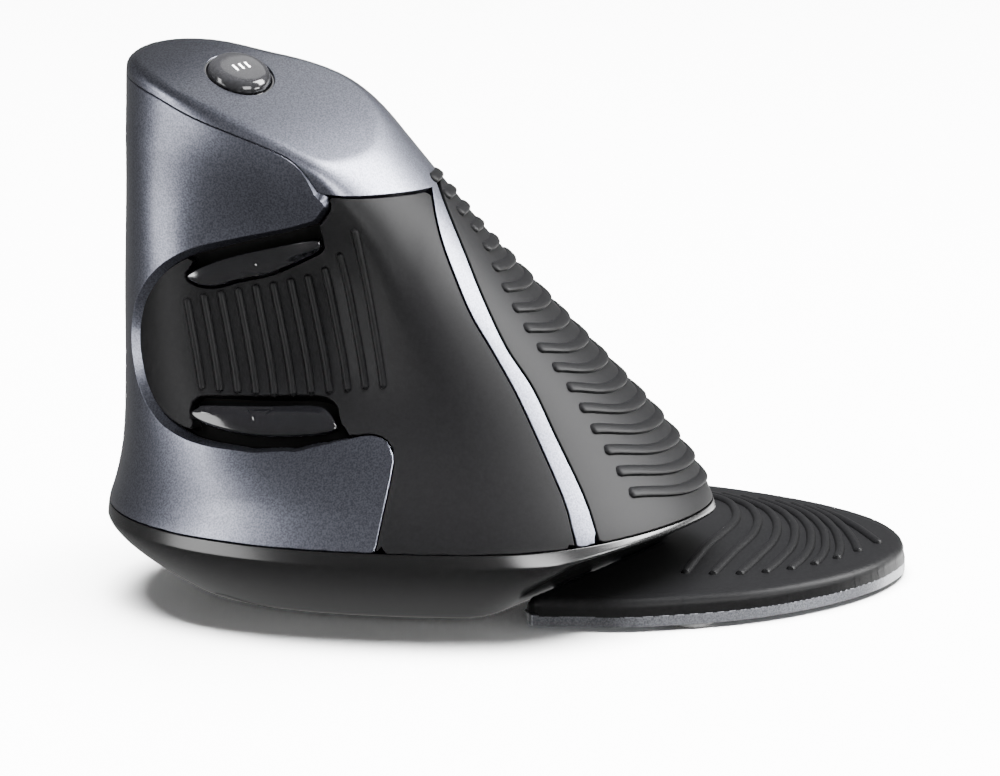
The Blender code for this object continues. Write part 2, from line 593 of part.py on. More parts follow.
def build_electronics():
    """Main board, tracking sensor, chips, power switch and receiver."""
    board = ((0.01, 0.09, 0.04), 0.0, 0.4)
    dark = ((0.015, 0.015, 0.017), 0.0, 0.35)
    prism("main_board", rectangle((4.6, 6.2), (19.5, 29.5), 1.0), 8.0, 9.6, "Z", board)
    box("controller_chip", (7.5, 18, 9.7), (14.5, 25, 10.9), dark, 0.15)
    box("radio_chip", (8, 9, 9.7), (12, 13, 10.6), dark, 0.1)
    box("timing_crystal", (14, 8, 9.7), (17.2, 13, 11.2), ((0.6, 0.6, 0.62), 0.9, 0.3), 0.4)
    box("tracking_sensor", (6.5, 9.5, 5.4), (14.5, 18.5, 7.9), dark, 0.2)
    lens = box("sensor_lens", (5.6, 7.5, 2.9), (15.4, 20.0, 4.4), ((0.8, 0.85, 0.9), 0.0, 0.05), 0.3)
    combine(lens, rod_tool("join_lens_dome", (10.5, 14, 0), 2.2, 1.6, 3.6), "UNION")
    lathe("sensor_lamp", [(0, 5.2), (1.3, 5.2), (1.5, 5.6), (1.5, 7.9), (0, 7.9)], (16.8, 14, 0),
          (0, 0, 1), ((0.8, 0.1, 0.05), 0.0, 0.1), sides=20)
    box("power_switch_body", (8.2, 22.0, 3.0), (14.8, 29.0, 6.2), dark, 0.2)
    knob = box("power_switch_knob", (9.8, 23.2, 0.35), (13.2, 26.2, 1.6), ((0.5, 0.05, 0.04), 0.0, 0.4), 0.2,
               origin=(11.5, 24.7, 1.0))
    combine(knob, box_tool("join_knob_neck", (10.6, 23.9, 1.0), (12.4, 25.5, 2.7)), "UNION")
    receiver = (8.0, -1.2, 0.0)
    box("usb_receiver", (5.5, -8.4, 0.95), (10.5, 6.0, 5.4), dark, 0.5, origin=receiver)
    plug = box("receiver_plug", (5.75, -7.2, 5.45), (10.25, 4.8, 16.5), ((0.6, 0.6, 0.62), 1.0, 0.25),
               0.2, origin=receiver)
    combine(plug, box_tool("cut_plug", (6.2, -6.7, 8.0), (8.6, 4.3, 20.0)), "DIFFERENCE")


def spring_mesh(at, radius, wire, length, turns, sides=8, steps=14):
    """Coil spring along +Y with closed ends."""
    verts, faces = [], []
    total = int(turns * steps)
    for k in range(total + 1):
        a = 2 * math.pi * k / steps
        middle = Vector((radius * math.cos(a), length * k / total, radius * math.sin(a)))
        out = Vector((math.cos(a), 0, math.sin(a)))
        side = Vector((-math.sin(a), length / total * steps / (2 * math.pi * radius),
                       math.cos(a))).normalized().cross(out)
        for j in range(sides):
            b = 2 * math.pi * j / sides
            verts.append(tuple(Vector(at) + middle + (out * math.cos(b) + side * math.sin(b)) * wire))
    for k in range(total):
        for j in range(sides):
            i = (j + 1) % sides
            faces.append([k * sides + j, k * sides + i, (k + 1) * sides + i, (k + 1) * sides + j])
    faces.append(list(range(sides))[::-1])
    faces.append(list(range(total * sides, (total + 1) * sides)))
    return verts, faces


def build_battery():
    """One AA cell with its two contacts."""
    x, y, z = BATTERY_AT
    r, length = BATTERY_RADIUS, BATTERY_LENGTH
    cell = [(0, 0), (r - 0.5, 0), (r, 0.5), (r, length - 2.0), (r - 0.6, length - 1.4),
            (2.7, length - 1.4), (2.7, length - 0.2), (2.4, length), (0, length)]
    lathe("battery_cell", cell, BATTERY_AT, (0, 1, 0), ((0.05, 0.08, 0.2), 0.3, 0.3), sides=40)
    steel = ((0.55, 0.55, 0.57), 1.0, 0.3)
    prism_y = rectangle((x - 4, z - 5), (x + 4, z + 5), 1.0)
    verts, faces = prism_mesh(prism_y, 0, 0.4, "Z")
    front = [(a, y + length + 0.1 + c, b) for a, b, c in verts]
    face_out(make_object("battery_plate", front, faces, steel))
    verts, faces = spring_mesh((x, y - 3.4, z), 3.0, 0.3, 3.0, 3.0)
    face_out(make_object("battery_spring", verts, faces, steel))


def build_base():
    """Boat-shaped base with its openings, door, feet and screws."""
    gloss = (BLACK, 0.0, 0.2)
    far = 60.0
    base = shell("base_shell", gloss)
    below = box_tool("cut_below_seam", (-far, -far, -5), (far, far, PARTING_Z - SEAM / 2))
    combine(base, below, "INTERSECT")
    screws = (("a", (14.0, 1.0, 0)), ("b", (7.5, 39.5, 0)))
    for name, at in screws:
        combine(base, rod_tool("cut_boss_" + name, at, 2.5, -1, 4.0), "DIFFERENCE")
        boss = [(2.15, 0.9), (2.85, 0.9), (2.85, 4.4), (1.25, 4.4), (1.25, 2.5), (2.15, 2.5)]
        combine(base, hide_cutter(lathe("join_boss_" + name, boss, at, sides=26)), "UNION")
        head = [(0, 1.0), (1.9, 1.0), (1.9, 2.3), (1.0, 2.3), (1.0, 10.0), (0, 10.0)]
        lathe("case_screw_" + name, head, at, (0, 0, 1), ((0.1, 0.1, 0.1), 1.0, 0.35), sides=24)
    door = rectangle((-10.5, -1.5), (4.2, 38.0), 3.0)
    combine(base, prism_tool("cut_door", grow(door, SEAM), -5, 10, "Z"), "DIFFERENCE")
    openings = (("cut_sensor", rectangle((6.8, 10.5), (13.4, 17.5), 2.0)),
                ("cut_receiver", rectangle((5.1, -8.8), (10.9, 6.4), 1.0)),
                ("cut_power", rectangle((9.3, 22.7), (13.7, 28.7), 1.0)))
    for name, outline in openings:
        combine(base, prism_tool(name, outline, -5, 6.0, "Z"), "DIFFERENCE")
    combine(base, palm_slot_tool(), "DIFFERENCE")

    lid = shell("battery_door", gloss, origin=(-3.15, 38.0, BOTTOM_Z))
    combine(lid, prism_tool("cut_lid", door, -5, 9.5, "Z"), "INTERSECT")

    pad = ((0.03, 0.03, 0.03), 0.0, 0.5)
    feet = (("glide_foot_door", (-6.4, 4), (-2.4, 22), (-3.15, 38.0, BOTTOM_Z)),
            ("glide_foot_right", (14.6, 8), (16.8, 22), (0, 0, 0)),
            ("glide_foot_front", (9.0, 31.0), (14.0, 34.5), (0, 0, 0)),
            ("glide_foot_rear", (11.3, -7.5), (13.9, -5.0), (0, 0, 0)))
    for name, low, high, origin in feet:
        radius = min(high[0] - low[0], high[1] - low[1]) / 2 - 0.01
        prism(name, rectangle(low, high, radius), 0.0, FOOT_HEIGHT - 0.03, "Z", pad, origin)


# ---- palm rest ----
def turned_box(name, middle, half, low_z, high_z):
    """Box tool whose long side follows the palm rest's way out."""
    along = Vector(PALM_DIRECTION)
    across = Vector((0, 0, 1)).cross(along)
    outline = [tuple((Vector((*middle, 0)) + along * a * half[0] + across * b * half[1])[:2])
               for a, b in ((-1, -1), (1, -1), (1, 1), (-1, 1))]
    return prism_tool(name, outline, low_z, high_z, "Z")


def palm_slot_tool():
    """Slot in the base for the palm rest's lugs and latch."""
    return turned_box("cut_palm_slot", (-1.2, -10.4), (5.5, 4.9), 1.1, 5.4)


def build_palm_rest():
    """Plate that wraps round the rear: silver band below, rubber cover above."""
    outline = spline(PALM_RIM) + PALM_END
    clear = 0.5
    verts, faces = envelope(5, clear)
    keep_out = hide_cutter(make_object("cut_around_base", verts, faces))
    low, high = PALM_BAND_Z
    band = prism("palm_rest_band", outline, low, high, "Z", (SILVER, 0.6, 0.35))
    combine(band, keep_out, "DIFFERENCE")
    for name, middle in (("join_lug_a", (-4.1, -11.7)), ("join_lug_b", (1.7, -9.1))):
        combine(band, turned_box(name, middle, (4.0, 1.3), 1.6, 3.8), "UNION")
    combine(band, turned_box("cut_latch_tab", (1.5, -16.6), (5.2, 1.4), 0, 3), "DIFFERENCE")
    latch = turned_box("palm_latch", (-0.2, -12.6), (5.2, 1.5), 2.5, 4.3)
    latch.hide_render = False
    latch.display_type = "TEXTURED"
    latch.data.materials.append(material("palm_latch", (0.5, 0.5, 0.52), 0.0, 0.4))
    combine(latch, turned_box("join_latch_tab", (1.1, -15.7), (1.6, 1.1), 0.9, 3.0), "UNION")

    rings = [(0.0, high + 0.05), (0.0, PALM_EDGE_Z), (-0.5, PALM_EDGE_Z + 0.6),
             (-1.6, PALM_EDGE_Z + 1.1), (-5.0, PALM_EDGE_Z + 1.7)]
    flat = outline if turn_area(outline) > 0 else outline[::-1]
    n = len(flat)
    verts = []
    for inset, z in rings:
        verts += [(a, b, z) for a, b in grow(flat, inset)]
    faces = [list(range(n))[::-1], list(range((len(rings) - 1) * n, len(rings) * n))]
    for k in range(len(rings) - 1):
        faces += [[k * n + i, k * n + (i + 1) % n, (k + 1) * n + (i + 1) % n, (k + 1) * n + i]
                  for i in range(n)]
    cover = make_object("palm_rest_cover", verts, faces, (RUBBER, 0.0, 0.8))
    combine(cover, keep_out, "DIFFERENCE")
    combine(cover, turned_box("cut_latch_bay", (0.4, -14.1), (9.0, 5.2), 0, 5.4), "DIFFERENCE")

    pad = ((0.02, 0.02, 0.02), 0.0, 0.8)
    for name, at in (("left", (-6.5, -27.0)), ("rear", (22.0, -47.5)), ("right", (43.0, -5.0))):
        lathe("palm_pad_" + name, [(0, 0), (2.6, 0), (3.0, 0.3), (3.0, 0.72), (0, 0.72)],
              (*at, 0), (0, 0, 1), pad, sides=28)


def build_all():
    """Makes every node in the scene."""
    for old in list(bpy.data.objects):
        bpy.data.objects.remove(old, do_unlink=True)
    build_shells()
    build_keys()
    build_wheel()
    build_chassis()
    build_electronics()
    build_battery()
    build_base()
    build_palm_rest()


build_all()
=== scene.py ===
"""Looks of the upright computer mouse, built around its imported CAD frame.

Sizes are in millimetres in the body frame, which is the frame's own axes moved by
SHIFT: +X is the user's right, +Y is forward and the desk is z = 0.
"""

import math

import bmesh
import bpy
import numpy as np
from mathutils import Matrix, Vector


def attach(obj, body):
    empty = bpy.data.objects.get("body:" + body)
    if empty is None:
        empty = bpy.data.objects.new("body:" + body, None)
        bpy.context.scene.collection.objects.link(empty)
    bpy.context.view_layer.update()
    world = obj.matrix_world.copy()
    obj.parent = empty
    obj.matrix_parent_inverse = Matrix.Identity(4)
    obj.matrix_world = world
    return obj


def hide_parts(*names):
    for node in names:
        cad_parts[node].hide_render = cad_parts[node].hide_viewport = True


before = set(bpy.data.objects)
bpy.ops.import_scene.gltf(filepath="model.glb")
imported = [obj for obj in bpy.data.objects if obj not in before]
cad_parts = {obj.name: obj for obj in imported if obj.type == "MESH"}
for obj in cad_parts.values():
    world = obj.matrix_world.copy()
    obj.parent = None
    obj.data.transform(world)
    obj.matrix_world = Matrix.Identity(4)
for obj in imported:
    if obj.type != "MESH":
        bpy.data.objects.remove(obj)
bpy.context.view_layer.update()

MM = 0.001
SHIFT = np.array((-12.6, -0.13, 0.0))

# ---- camera and stage ----
CAMERA_AZIMUTH = 8.0  # degrees behind the thumb side's normal
CAMERA_ELEVATION = 14.5
CAMERA_DISTANCE = 650.0
CAMERA_TARGET = (0.0, 0.0, 30.0)
LENS = 173.2
WORLD_STRENGTH = 0.36
RIM_GLOW_TOWARDS = (0.70, -0.61, -0.38)
RIM_GLOW = 42.0
RIM_GLOW_SPAN = (0.88, 0.985)  # cosine from its direction where the glow starts and is full
FLOOR_HALF = 3000.0
# name, place, width and height, watts, lights matt surfaces, shows in glossy ones; metres
SOFT_BOXES = (
    ("overhead_box", (0.1, -0.05, 1.1), (1.1, 1.0), 262.0, True, False),
    ("roof_box", (0.15, -0.77, 0.55), (0.36, 0.72), 86.0, False, True),
    ("key_box", (0.66, -0.2, 0.93), (0.4, 0.4), 1.6, False, True),
    ("nose_box", (-0.5, 0.66, 0.34), (0.2, 0.4), 8.0, False, True),
    ("left_box", (-0.58, 0.77, -0.08), (0.6, 0.45), 10.5, False, True),
    ("palm_box", (-0.80, -0.74, 0.16), (0.5, 0.45), 25.0, False, True),
    ("back_box", (-0.2, -1.0, -0.05), (0.3, 0.2), 11.0, False, True),
)

# ---- shell dimensions, as in the CAD ----
PARTING_Z = 13.3
SEAM = 0.15
BUTTON_GAP = 0.45
FINGER_KEY_EDGE = 0.5
WALL = 1.6
BOTTOM_Z = 0.7
EDGE_RADIUS = 0.16
CAST_CENTRE = np.array((5.0, 18.0, 41.0))
CAST_SCALE = np.array((20.0, 42.0, 38.0))
CAST_REACH = (0.2, 90.0)
CREASE_ANGLE = 35.0
SIDE_SPLIT_X = 3.0

LEFT_PROFILE = [(0, -24.5), (13, -24.5), (16, -23.2), (20, -21.0), (26, -18.0), (34, -15.0),
                (44, -12.6), (54, -11.2), (64, -10.6), (80, -10.2)]
RIGHT_PROFILE = [(0, 30.0), (13, 30.0), (18, 30.6), (26, 30.2), (36, 28.0), (48, 23.5),
                 (60, 18.0), (70, 13.5), (80, 9.0)]
FRONT_PROFILE = [(0, 54.2), (13, 54.2), (16, 53.4), (20, 52.7), (28, 52.4), (45, 52.2),
                 (60, 51.4), (80, 50.8)]
REAR_PROFILE = [(0, -29.2), (13, -29.2), (17, -27.2), (22, -23.2), (30, -15.6), (40, -6.0),
                (50, 2.6), (58, 7.4), (66, 10.2), (80, 12.0)]
LIP_LINE = [(-30, 66.0), (10, 60.0), (18, 62.0), (24.4, 63.5), (30, 66.0), (40, 69.8),
            (46, 72.6), (52, 76.0)]
SECTION_POWER = 2.25
ROOF_MIDDLE = (35.0, 72.2)  # forward place and height of the roof over the body's middle
ROOF_COSINE = 0.88  # turns height over the slope into distance from it
FRONT_ROUNDING = 1.5  # edge radius round the roof: at the front, and what the rear
REAR_ROUNDING = 11.0  # and the finger side add
RIGHT_ROUNDING = 6.0
BOTTOM_ROUNDING = 1.0
SCOOP_DEPTH = 6.0
HULL_INSET = 12.5
HULL_TOP = 11.5
# Flat cut under the rear, above the palm rest: a point of it and its outward normal
FACET_AT = (-1.6, -18.7, 9.2)
FACET_NORMAL = (-0.267, -0.506, -0.820)
FACET_ROUNDING = 1.8
FACET_SHELF_Z = 10.5  # over this the cut swings out, by FACET_SHELF at the parting line
FACET_SHELF = 2.5

# Panel edges seen from the side: (forward, height)
ROOF_EDGE = [(58.0, 75.6), (50.2, 72.0), (44.9, 70.2), (39.9, 68.1), (34.9, 66.3), (30.6, 64.7),
             (27.6, 63.4), (25.6, 62.0), (24.2, 60.3), (23.0, 58.4)]
THUMB_TOP = [(22.6, 58.1), (10.0, 56.8)]
STRIP_FRONT = [(9.7, 56.8), (7.7, 51.2), (5.6, 46.7), (2.9, 41.6), (-0.2, 37.0), (-3.6, 31.8),
               (-6.7, 26.4), (-9.5, 21.4), (-11.4, 17.6), (-13.2, 12.0)]
STRIP_REAR = [(-15.9, 12.0), (-14.0, 17.0), (-12.1, 20.7), (-8.9, 26.1), (-5.4, 32.1),
              (-1.7, 37.1), (1.8, 43.1), (5.1, 49.3), (7.8, 54.2), (9.7, 57.6)]
THUMB_CORNER = [(13.3, 12.0), (12.4, 17.7), (11.9, 21.2), (11.6, 24.1), (12.0, 25.5),
                (13.2, 26.6), (15.0, 27.0)]
THUMB_ARCH = [(15.0, 27.0), (19.1, 26.4), (24.9, 25.5), (29.7, 25.1), (35.5, 25.2),
              (40.3, 25.8), (43.6, 26.8), (46.0, 28.5), (47.8, 30.8), (48.8, 33.2), (49.3, 35.8),
              (49.0, 38.7), (47.9, 41.9), (45.8, 44.9), (43.0, 47.3), (39.5, 49.0), (34.4, 50.2),
              (28.2, 51.6), (23.6, 53.2), (22.3, 54.5), (21.3, 56.2), (21.8, 57.7)]
UPPER_THUMB_KEY = [(41.2, 46.2), (36.4, 48.4), (29.7, 50.0), (24.6, 51.1), (23.3, 50.9),
                   (23.3, 49.8), (24.9, 48.7), (29.7, 46.5), (34.7, 45.4), (37.3, 44.7),
                   (40.0, 44.9)]
LOWER_THUMB_KEY = [(40.3, 27.9), (39.4, 28.8), (37.8, 29.3), (28.9, 29.6), (23.4, 29.8),
                   (21.3, 29.2), (20.0, 27.4), (21.6, 26.6), (25.0, 26.1), (30.0, 25.8),
                   (35.3, 26.1), (38.8, 26.9)]
KEY_FRONT_Y = 48.4
KEY_REAR_Y = 14.6
BEZEL_Z = (35.2, 46.2)
LOWER_KEY_Z = 16.2
ROUND_KEY_AT = (0.0, 35.2, 72.2)
ROUND_KEY_AXIS = (-0.334, -0.267, 0.903)
ROUND_KEY_RADIUS = 4.35
WHEEL_AT = (19.0, 33.0, 40.7)
WHEEL_WIDTH = 6.0
BASE_AXIS = (10.1, 14.0)
BASE_RING_Z = 1.3
BASE_RING_TOP = PARTING_Z + 0.8
DOOR_X = (-10.5, 4.2)
DOOR_Y = (-1.5, 38.0)
DOOR_CORNER = 3.0
DOOR_TOP = 9.0
# Sensor window, receiver bay and switch slot in the base: two corners and corner radius
BASE_WINDOWS = (((6.8, 10.5), (13.4, 17.5), 2.0), ((5.1, -8.8), (10.9, 6.4), 1.0),
                ((9.3, 22.7), (13.7, 28.7), 1.0))
SCREWS_AT = ((14.0, 1.0), (7.5, 39.5))
SCREW_HOLE_RADIUS = 2.15

# ---- details ----
ROOF_SEAM = 0.08
ROOF_EDGE_RADIUS = 0.12
ARCH_BEVEL = 1.25
THUMB_RECESS = 0.9
THUMB_RIB_TOPS_Z = (43.0, 43.7, 44.2, 44.6, 45.0, 45.3, 45.8, 46.3, 47.5, 49.8, 53.5)
THUMB_RIB_FEET_Z = (30.8, 30.7, 30.6, 30.5, 30.4, 30.5, 30.7, 30.9, 31.3, 31.8, 32.2)
THUMB_RIB_TOPS_Y = (41.4, 18.4)
THUMB_RIB_FEET_Y = (38.9, 14.0)
THUMB_RIB_SIZE = (1.15, 0.55)
BACK_RIBS = 17
BACK_RIB_Z = (57.6, 18.2)
BACK_RIB_SPREAD = 0.1  # how much wider the spacing gets towards the foot
BACK_RIB_SIZE = (1.7, 0.46)
BACK_RIB_DROP = 1.9  # how far each rib sinks towards the middle of the back
BACK_RIB_REACH = 0.4  # least distance a rib comes forward round the back
BACK_RIB_CENTRE = (6.0, 16.0)
BACK_RIB_SWEEP = (130, 420)  # degrees round BACK_RIB_CENTRE
BACK_RIB_LEAN = -0.62
RIDGE_POINTS = 11  # points across a rib
LATHE_SIDES = 96
# cap, body it rides, near-black well behind it that paints the recess's shade, outline
THUMB_KEYS = (("upper_thumb_cap", "upper_thumb_key", "upper_key_shade_well", UPPER_THUMB_KEY),
              ("lower_thumb_cap", "lower_thumb_key", "lower_key_shade_well", LOWER_THUMB_KEY))
THUMB_KEY_WALL = 1.3
THUMB_KEY_RISE = (0.3, 0.75)  # at its edge, and how much more in its middle
THUMB_KEY_STEP = 0.11
THUMB_HOLE_GAP = 0.35
ARROW_DEPTH = 0.06
WELL_DEPTH = 2.35
WELL_MARGIN = 2.6
WELL_STEP = 0.6
KEY_ARROWS = {"upper_thumb_cap": [(32.9, 48.7), (31.0, 46.3), (34.6, 46.3)],
              "lower_thumb_cap": [(31.2, 27.0), (32.1, 28.7), (29.0, 28.8)]}

# Palm rest, seen from above
PALM_RIM = [(-13.4, -5.8), (-12.9, -13.0), (-12.0, -20.0), (-8.0, -31.0), (-4.0, -38.0),
            (2.0, -45.0), (8.0, -49.8), (13.0, -52.4), (19.0, -54.0), (26.0, -53.0),
            (33.0, -49.0), (39.0, -42.0), (43.5, -33.5), (47.0, -24.0), (49.3, -13.0),
            (50.0, -2.0), (48.8, 8.0), (45.5, 17.0), (40.0, 23.5), (32.5, 28.0)]
PALM_END = [(22.0, 27.0), (10.0, 10.0), (-4.0, -4.0)]
PALM_BAND_Z = (0.75, 2.3)
PALM_COVER_Z = 2.35
PALM_SHOULDER_Z = 4.2
PALM_SLOPE = (2.0, 0.5)  # width and rise of the slope inside the rim
PALM_CROWN = 1.3  # further rise towards the cover's middle
PALM_CROWN_WIDTH = 24.0  # how far inside the rim it is complete
PALM_GAP = 0.35
PALM_RIBS = 9
PALM_RIB_SIZE = (1.35, 0.58)
PALM_SHEET = ((-14.5, -55.0), (51.0, 29.0), 0.7)  # corners and step of its grid
# First, middle and last rib; the others lie between them
PALM_RIB_GUIDES = (
    [(-0.6, -25.3), (10.3, -27.3), (20.7, -29.8), (29.0, -29.6), (36.5, -27.2), (42.0, -20.0)],
    [(4.0, -39.2), (9.2, -40.6), (15.0, -41.2), (23.0, -40.4), (31.5, -37.6), (38.5, -32.0)],
    [(18.7, -50.5), (22.0, -48.9), (24.8, -47.5), (27.8, -45.8), (31.2, -43.6), (34.8, -40.4)])


# ---- the body's shape ----
def curve(knots, at):
    """Smooth cubic through (place, value) knots."""
    table = np.array(knots, float)
    place, value = table[:, 0], table[:, 1]
    slope = np.diff(value) / np.diff(place)
    tangent = np.concatenate([[slope[0]], (slope[1:] + slope[:-1]) / 2, [slope[-1]]])
    at = np.clip(at, place[0], place[-1])
    k = np.clip(np.searchsorted(place, at, side="right") - 1, 0, len(place) - 2)
    step = place[k + 1] - place[k]
    u = (at - place[k]) / step
    return ((1 + 2 * u) * (1 - u) ** 2 * value[k] + u * (1 - u) ** 2 * step * tangent[k]
            + u * u * (3 - 2 * u) * value[k + 1] + u * u * (u - 1) * step * tangent[k + 1])


def ease(low, high, at):
    """0 below low, 1 above high, smooth between."""
    u = np.clip((at - low) / (high - low), 0, 1)
    return u * u * (3 - 2 * u)


def soft_max(a, b, radius):
    """Larger of two fields, rounded over the given radius."""
    h = np.maximum(radius - np.abs(a - b), 0)
    return np.maximum(a, b) + h * h / (4 * radius)


def scoop(y, z):
    """Depth of the hollow under the lip on the thumb side."""
    top = curve(LIP_LINE, y)
    under_lip = 1 - ease(top - 19.0, top - 0.8, z)
    above_flare = ease(17.0, 36.0, z)
    behind_nose = 1 - ease(24.0, 53.0, y)
    middle = 14 + 0.35 * (z - 40)
    spread = np.clip(9 - 0.25 * (z - 40), 3.0, 12.0)
    before_palm = ease(middle - spread, middle + spread, y)
    return SCOOP_DEPTH * under_lip * above_flare * behind_nose * before_palm


def side_field(x, y, z):
    """Signed distance, roughly, to the upright walls."""
    inset = HULL_INSET * np.clip((HULL_TOP - z) / 11.0, 0, 1.2) ** 1.35
    left, right = curve(LEFT_PROFILE, z), curve(RIGHT_PROFILE, z)
    front, rear = curve(FRONT_PROFILE, z), curve(REAR_PROFILE, z)
    middle_x = np.clip(0.5 * (left + right), 3, 6)
    middle_y = 0.5 * (front + rear) + 2
    half_left = middle_x - left - inset - scoop(y, z)
    half_right = right - middle_x - inset
    half_front = front - middle_y - inset
    half_rear = middle_y - rear - inset
    across = (x - middle_x) / np.where(x < middle_x, half_left, half_right)
    along = (y - middle_y) / np.where(y > middle_y, half_front, half_rear)
    power = SECTION_POWER
    ratio = (np.abs(across) ** power + np.abs(along) ** power + 1e-12) ** (1 / power)
    return np.hypot(x - middle_x, y - middle_y) * (1 - 1 / ratio)


def roof_field(x, y, z):
    """Signed distance, roughly, to the sloping top."""
    middle_y, middle_z = ROOF_MIDDLE
    t = (y - middle_y) / 10
    height = middle_z + 3.0 * t - 0.95 * t * t
    height = height + (0.37 - 0.1 * t) * np.clip(x, -30, 40) - 0.006 * x * x
    return (z - height) * ROOF_COSINE


def facet_field(p):
    """Signed distance to the flat cut under the rear, which clears the palm rest."""
    away = (p - np.array(FACET_AT)) @ np.array(FACET_NORMAL)
    return away - FACET_SHELF * ease(FACET_SHELF_Z, PARTING_Z, p[..., 2])


def body_field(p):
    """Below 0 inside the body."""
    x, y, z = p[..., 0], p[..., 1], p[..., 2]
    at_rear, at_right = ease(24, 10, y), ease(-2, 12, x)
    radius = FRONT_ROUNDING + REAR_ROUNDING * at_rear + RIGHT_ROUNDING * at_right * (1 - at_rear)
    upper = soft_max(side_field(x, y, z), roof_field(x, y, z), radius)
    return soft_max(soft_max(upper, BOTTOM_Z - z, BOTTOM_ROUNDING), facet_field(p), FACET_ROUNDING)


def gradient(field, p, step=0.04):
    """Slope of a field at each point."""
    out = np.empty_like(p)
    for k in range(3):
        move = np.zeros(3)
        move[k] = step
        out[:, k] = (field(p + move) - field(p - move)) / (2 * step)
    return out


def unit(v):
    """Rows scaled to length 1."""
    return v / (np.linalg.norm(v, axis=1)[:, None] + 1e-12)


def normals_of(field):
    """A function that gives a field's outward normals at points."""
    return lambda p, _: unit(gradient(field, p))


def bisect(low, high, is_past, steps):
    """Largest values between low and high that are not past a limit."""
    for _ in range(steps):
        middle = (low + high) / 2
        past = is_past(middle)
        high = np.where(past, middle, high)
        low = np.where(past, low, middle)
    return low


def cast(start, rays, field):
    """Where rays from inside leave a field's inner side."""
    rays = unit(rays)
    near, far = (np.full(len(rays), reach) for reach in CAST_REACH)
    at = bisect(near, far, lambda t: field(start + rays * t[:, None]) > 0, 30)
    return start + rays * at[:, None]


def cast_from_centre(rays, field=body_field):
    """Where rays from the middle of the body meet its surface."""
    return cast(CAST_CENTRE, rays, field)


def cast_sideways(yz, field=body_field):
    """Surface points of the thumb side at given (y, z)."""
    start = np.column_stack([np.full(len(yz), 3.0), yz])
    return cast(start, np.tile((-1.0, 0.0, 0.0), (len(yz), 1)), field)


# ---- outlines ----
def spline(points, steps=8):
    """Catmull-Rom curve through open points."""
    p = np.array(points, float)
    p = np.concatenate([[2 * p[0] - p[1]], p, [2 * p[-1] - p[-2]]])
    out = []
    for k in range(1, len(p) - 2):
        a, b, c, d = p[k - 1:k + 3]
        for u in np.arange(steps) / steps:
            out.append(0.5 * (2 * b + (c - a) * u + (2 * a - 5 * b + 4 * c - d) * u ** 2
                              + (3 * b - a - 3 * c + d) * u ** 3))
    out.append(p[-2])
    return [tuple(q) for q in out]


def closed_spline(points, steps=8):
    """Catmull-Rom curve through closed points."""
    n = len(points)
    around = [points[(k - 2) % n] for k in range(n + 5)]
    return spline(around, steps)[2 * steps:(n + 2) * steps]


def polygon_distance(points, outline):
    """Signed distance to a closed outline, below 0 inside."""
    poly = np.array(outline, float)
    start, end = poly, np.roll(poly, -1, axis=0)
    edge = end - start
    length = (edge ** 2).sum(1) + 1e-12
    out = np.empty(len(points))
    for first in range(0, len(points), 4000):
        p = points[first:first + 4000, None, :]
        t = np.clip(((p - start) * edge).sum(2) / length, 0, 1)
        near = np.linalg.norm(p - start - t[..., None] * edge, axis=2).min(1)
        above = (start[:, 1] > p[..., 1]) != (end[:, 1] > p[..., 1])
        rise = np.where(np.abs(edge[:, 1]) < 1e-12, 1e-12, edge[:, 1])
        cross = start[:, 0] + (p[..., 1] - start[:, 1]) / rise * edge[:, 0]
        inside = (above & (p[..., 0] < cross)).sum(1) % 2 == 1
        out[first:first + 4000] = np.where(inside, -near, near)
    return out


def roof_outline():
    """Roof with the silver strip that runs down behind the thumb panel."""
    return (spline(ROOF_EDGE) + spline(THUMB_TOP) + spline(STRIP_FRONT) + spline(STRIP_REAR)
            + [(4.0, 61.0), (4.0, 90.0), (64.0, 90.0)])


def thumb_outline():
    """Black thumb panel, arch to strip."""
    strip = [(y + SEAM, z - 0.1) for y, z in spline(STRIP_FRONT)]
    return spline(THUMB_CORNER)[:-1] + spline(THUMB_ARCH) + [(10.3, 56.5)] + strip[1:]


def behind_arch():
    """Everything behind the thumb panel's front edge."""
    return (spline(THUMB_CORNER)[:-1] + spline(THUMB_ARCH)
            + [(22.0, 62.0), (10.0, 95.0), (-60.0, 95.0), (-60.0, 12.0)])


def grip_outline():
    """Ribbed rubber back."""
    strip = [(y - SEAM, z + 0.1) for y, z in spline(STRIP_REAR)]
    return strip + [(9.3, 58.0), (3.7, 60.8), (-45.0, 75.0), (-45.0, 12.0)]


def palm_side_outline():
    """Palm grip on the finger side, behind the keys."""
    strip = [(y + SEAM, z - 0.1) for y, z in spline(STRIP_FRONT)]
    return [(KEY_REAR_Y - 0.6, 12.0), (KEY_REAR_Y - 0.6, 56.9), (10.3, 56.5)] + strip[1:]


def upper_key_outline():
    """Upper finger key, under the roof's edge."""
    edge = spline(ROOF_EDGE)
    roof = [(y, z - BUTTON_GAP) for y, z in edge if y < KEY_FRONT_Y]
    places, heights = zip(*edge[::-1])
    front_z = float(np.interp(KEY_FRONT_Y, places, heights)) - BUTTON_GAP
    return ([(KEY_FRONT_Y, front_z)] + roof + [(22.0, 57.4), (KEY_REAR_Y, 56.7)]
            + [(KEY_REAR_Y, BEZEL_Z[1] + BUTTON_GAP), (KEY_FRONT_Y, BEZEL_Z[1] + BUTTON_GAP)])


def box_distance(points, low, high, radius=0.0):
    """Signed distance to a rectangle with rounded corners."""
    u, v = points.T
    du = np.abs(u - (low[0] + high[0]) / 2) - (high[0] - low[0]) / 2 + radius
    dv = np.abs(v - (low[1] + high[1]) / 2) - (high[1] - low[1]) / 2 + radius
    outer = np.hypot(np.maximum(du, 0), np.maximum(dv, 0))
    return outer + np.minimum(np.maximum(du, dv), 0) - radius


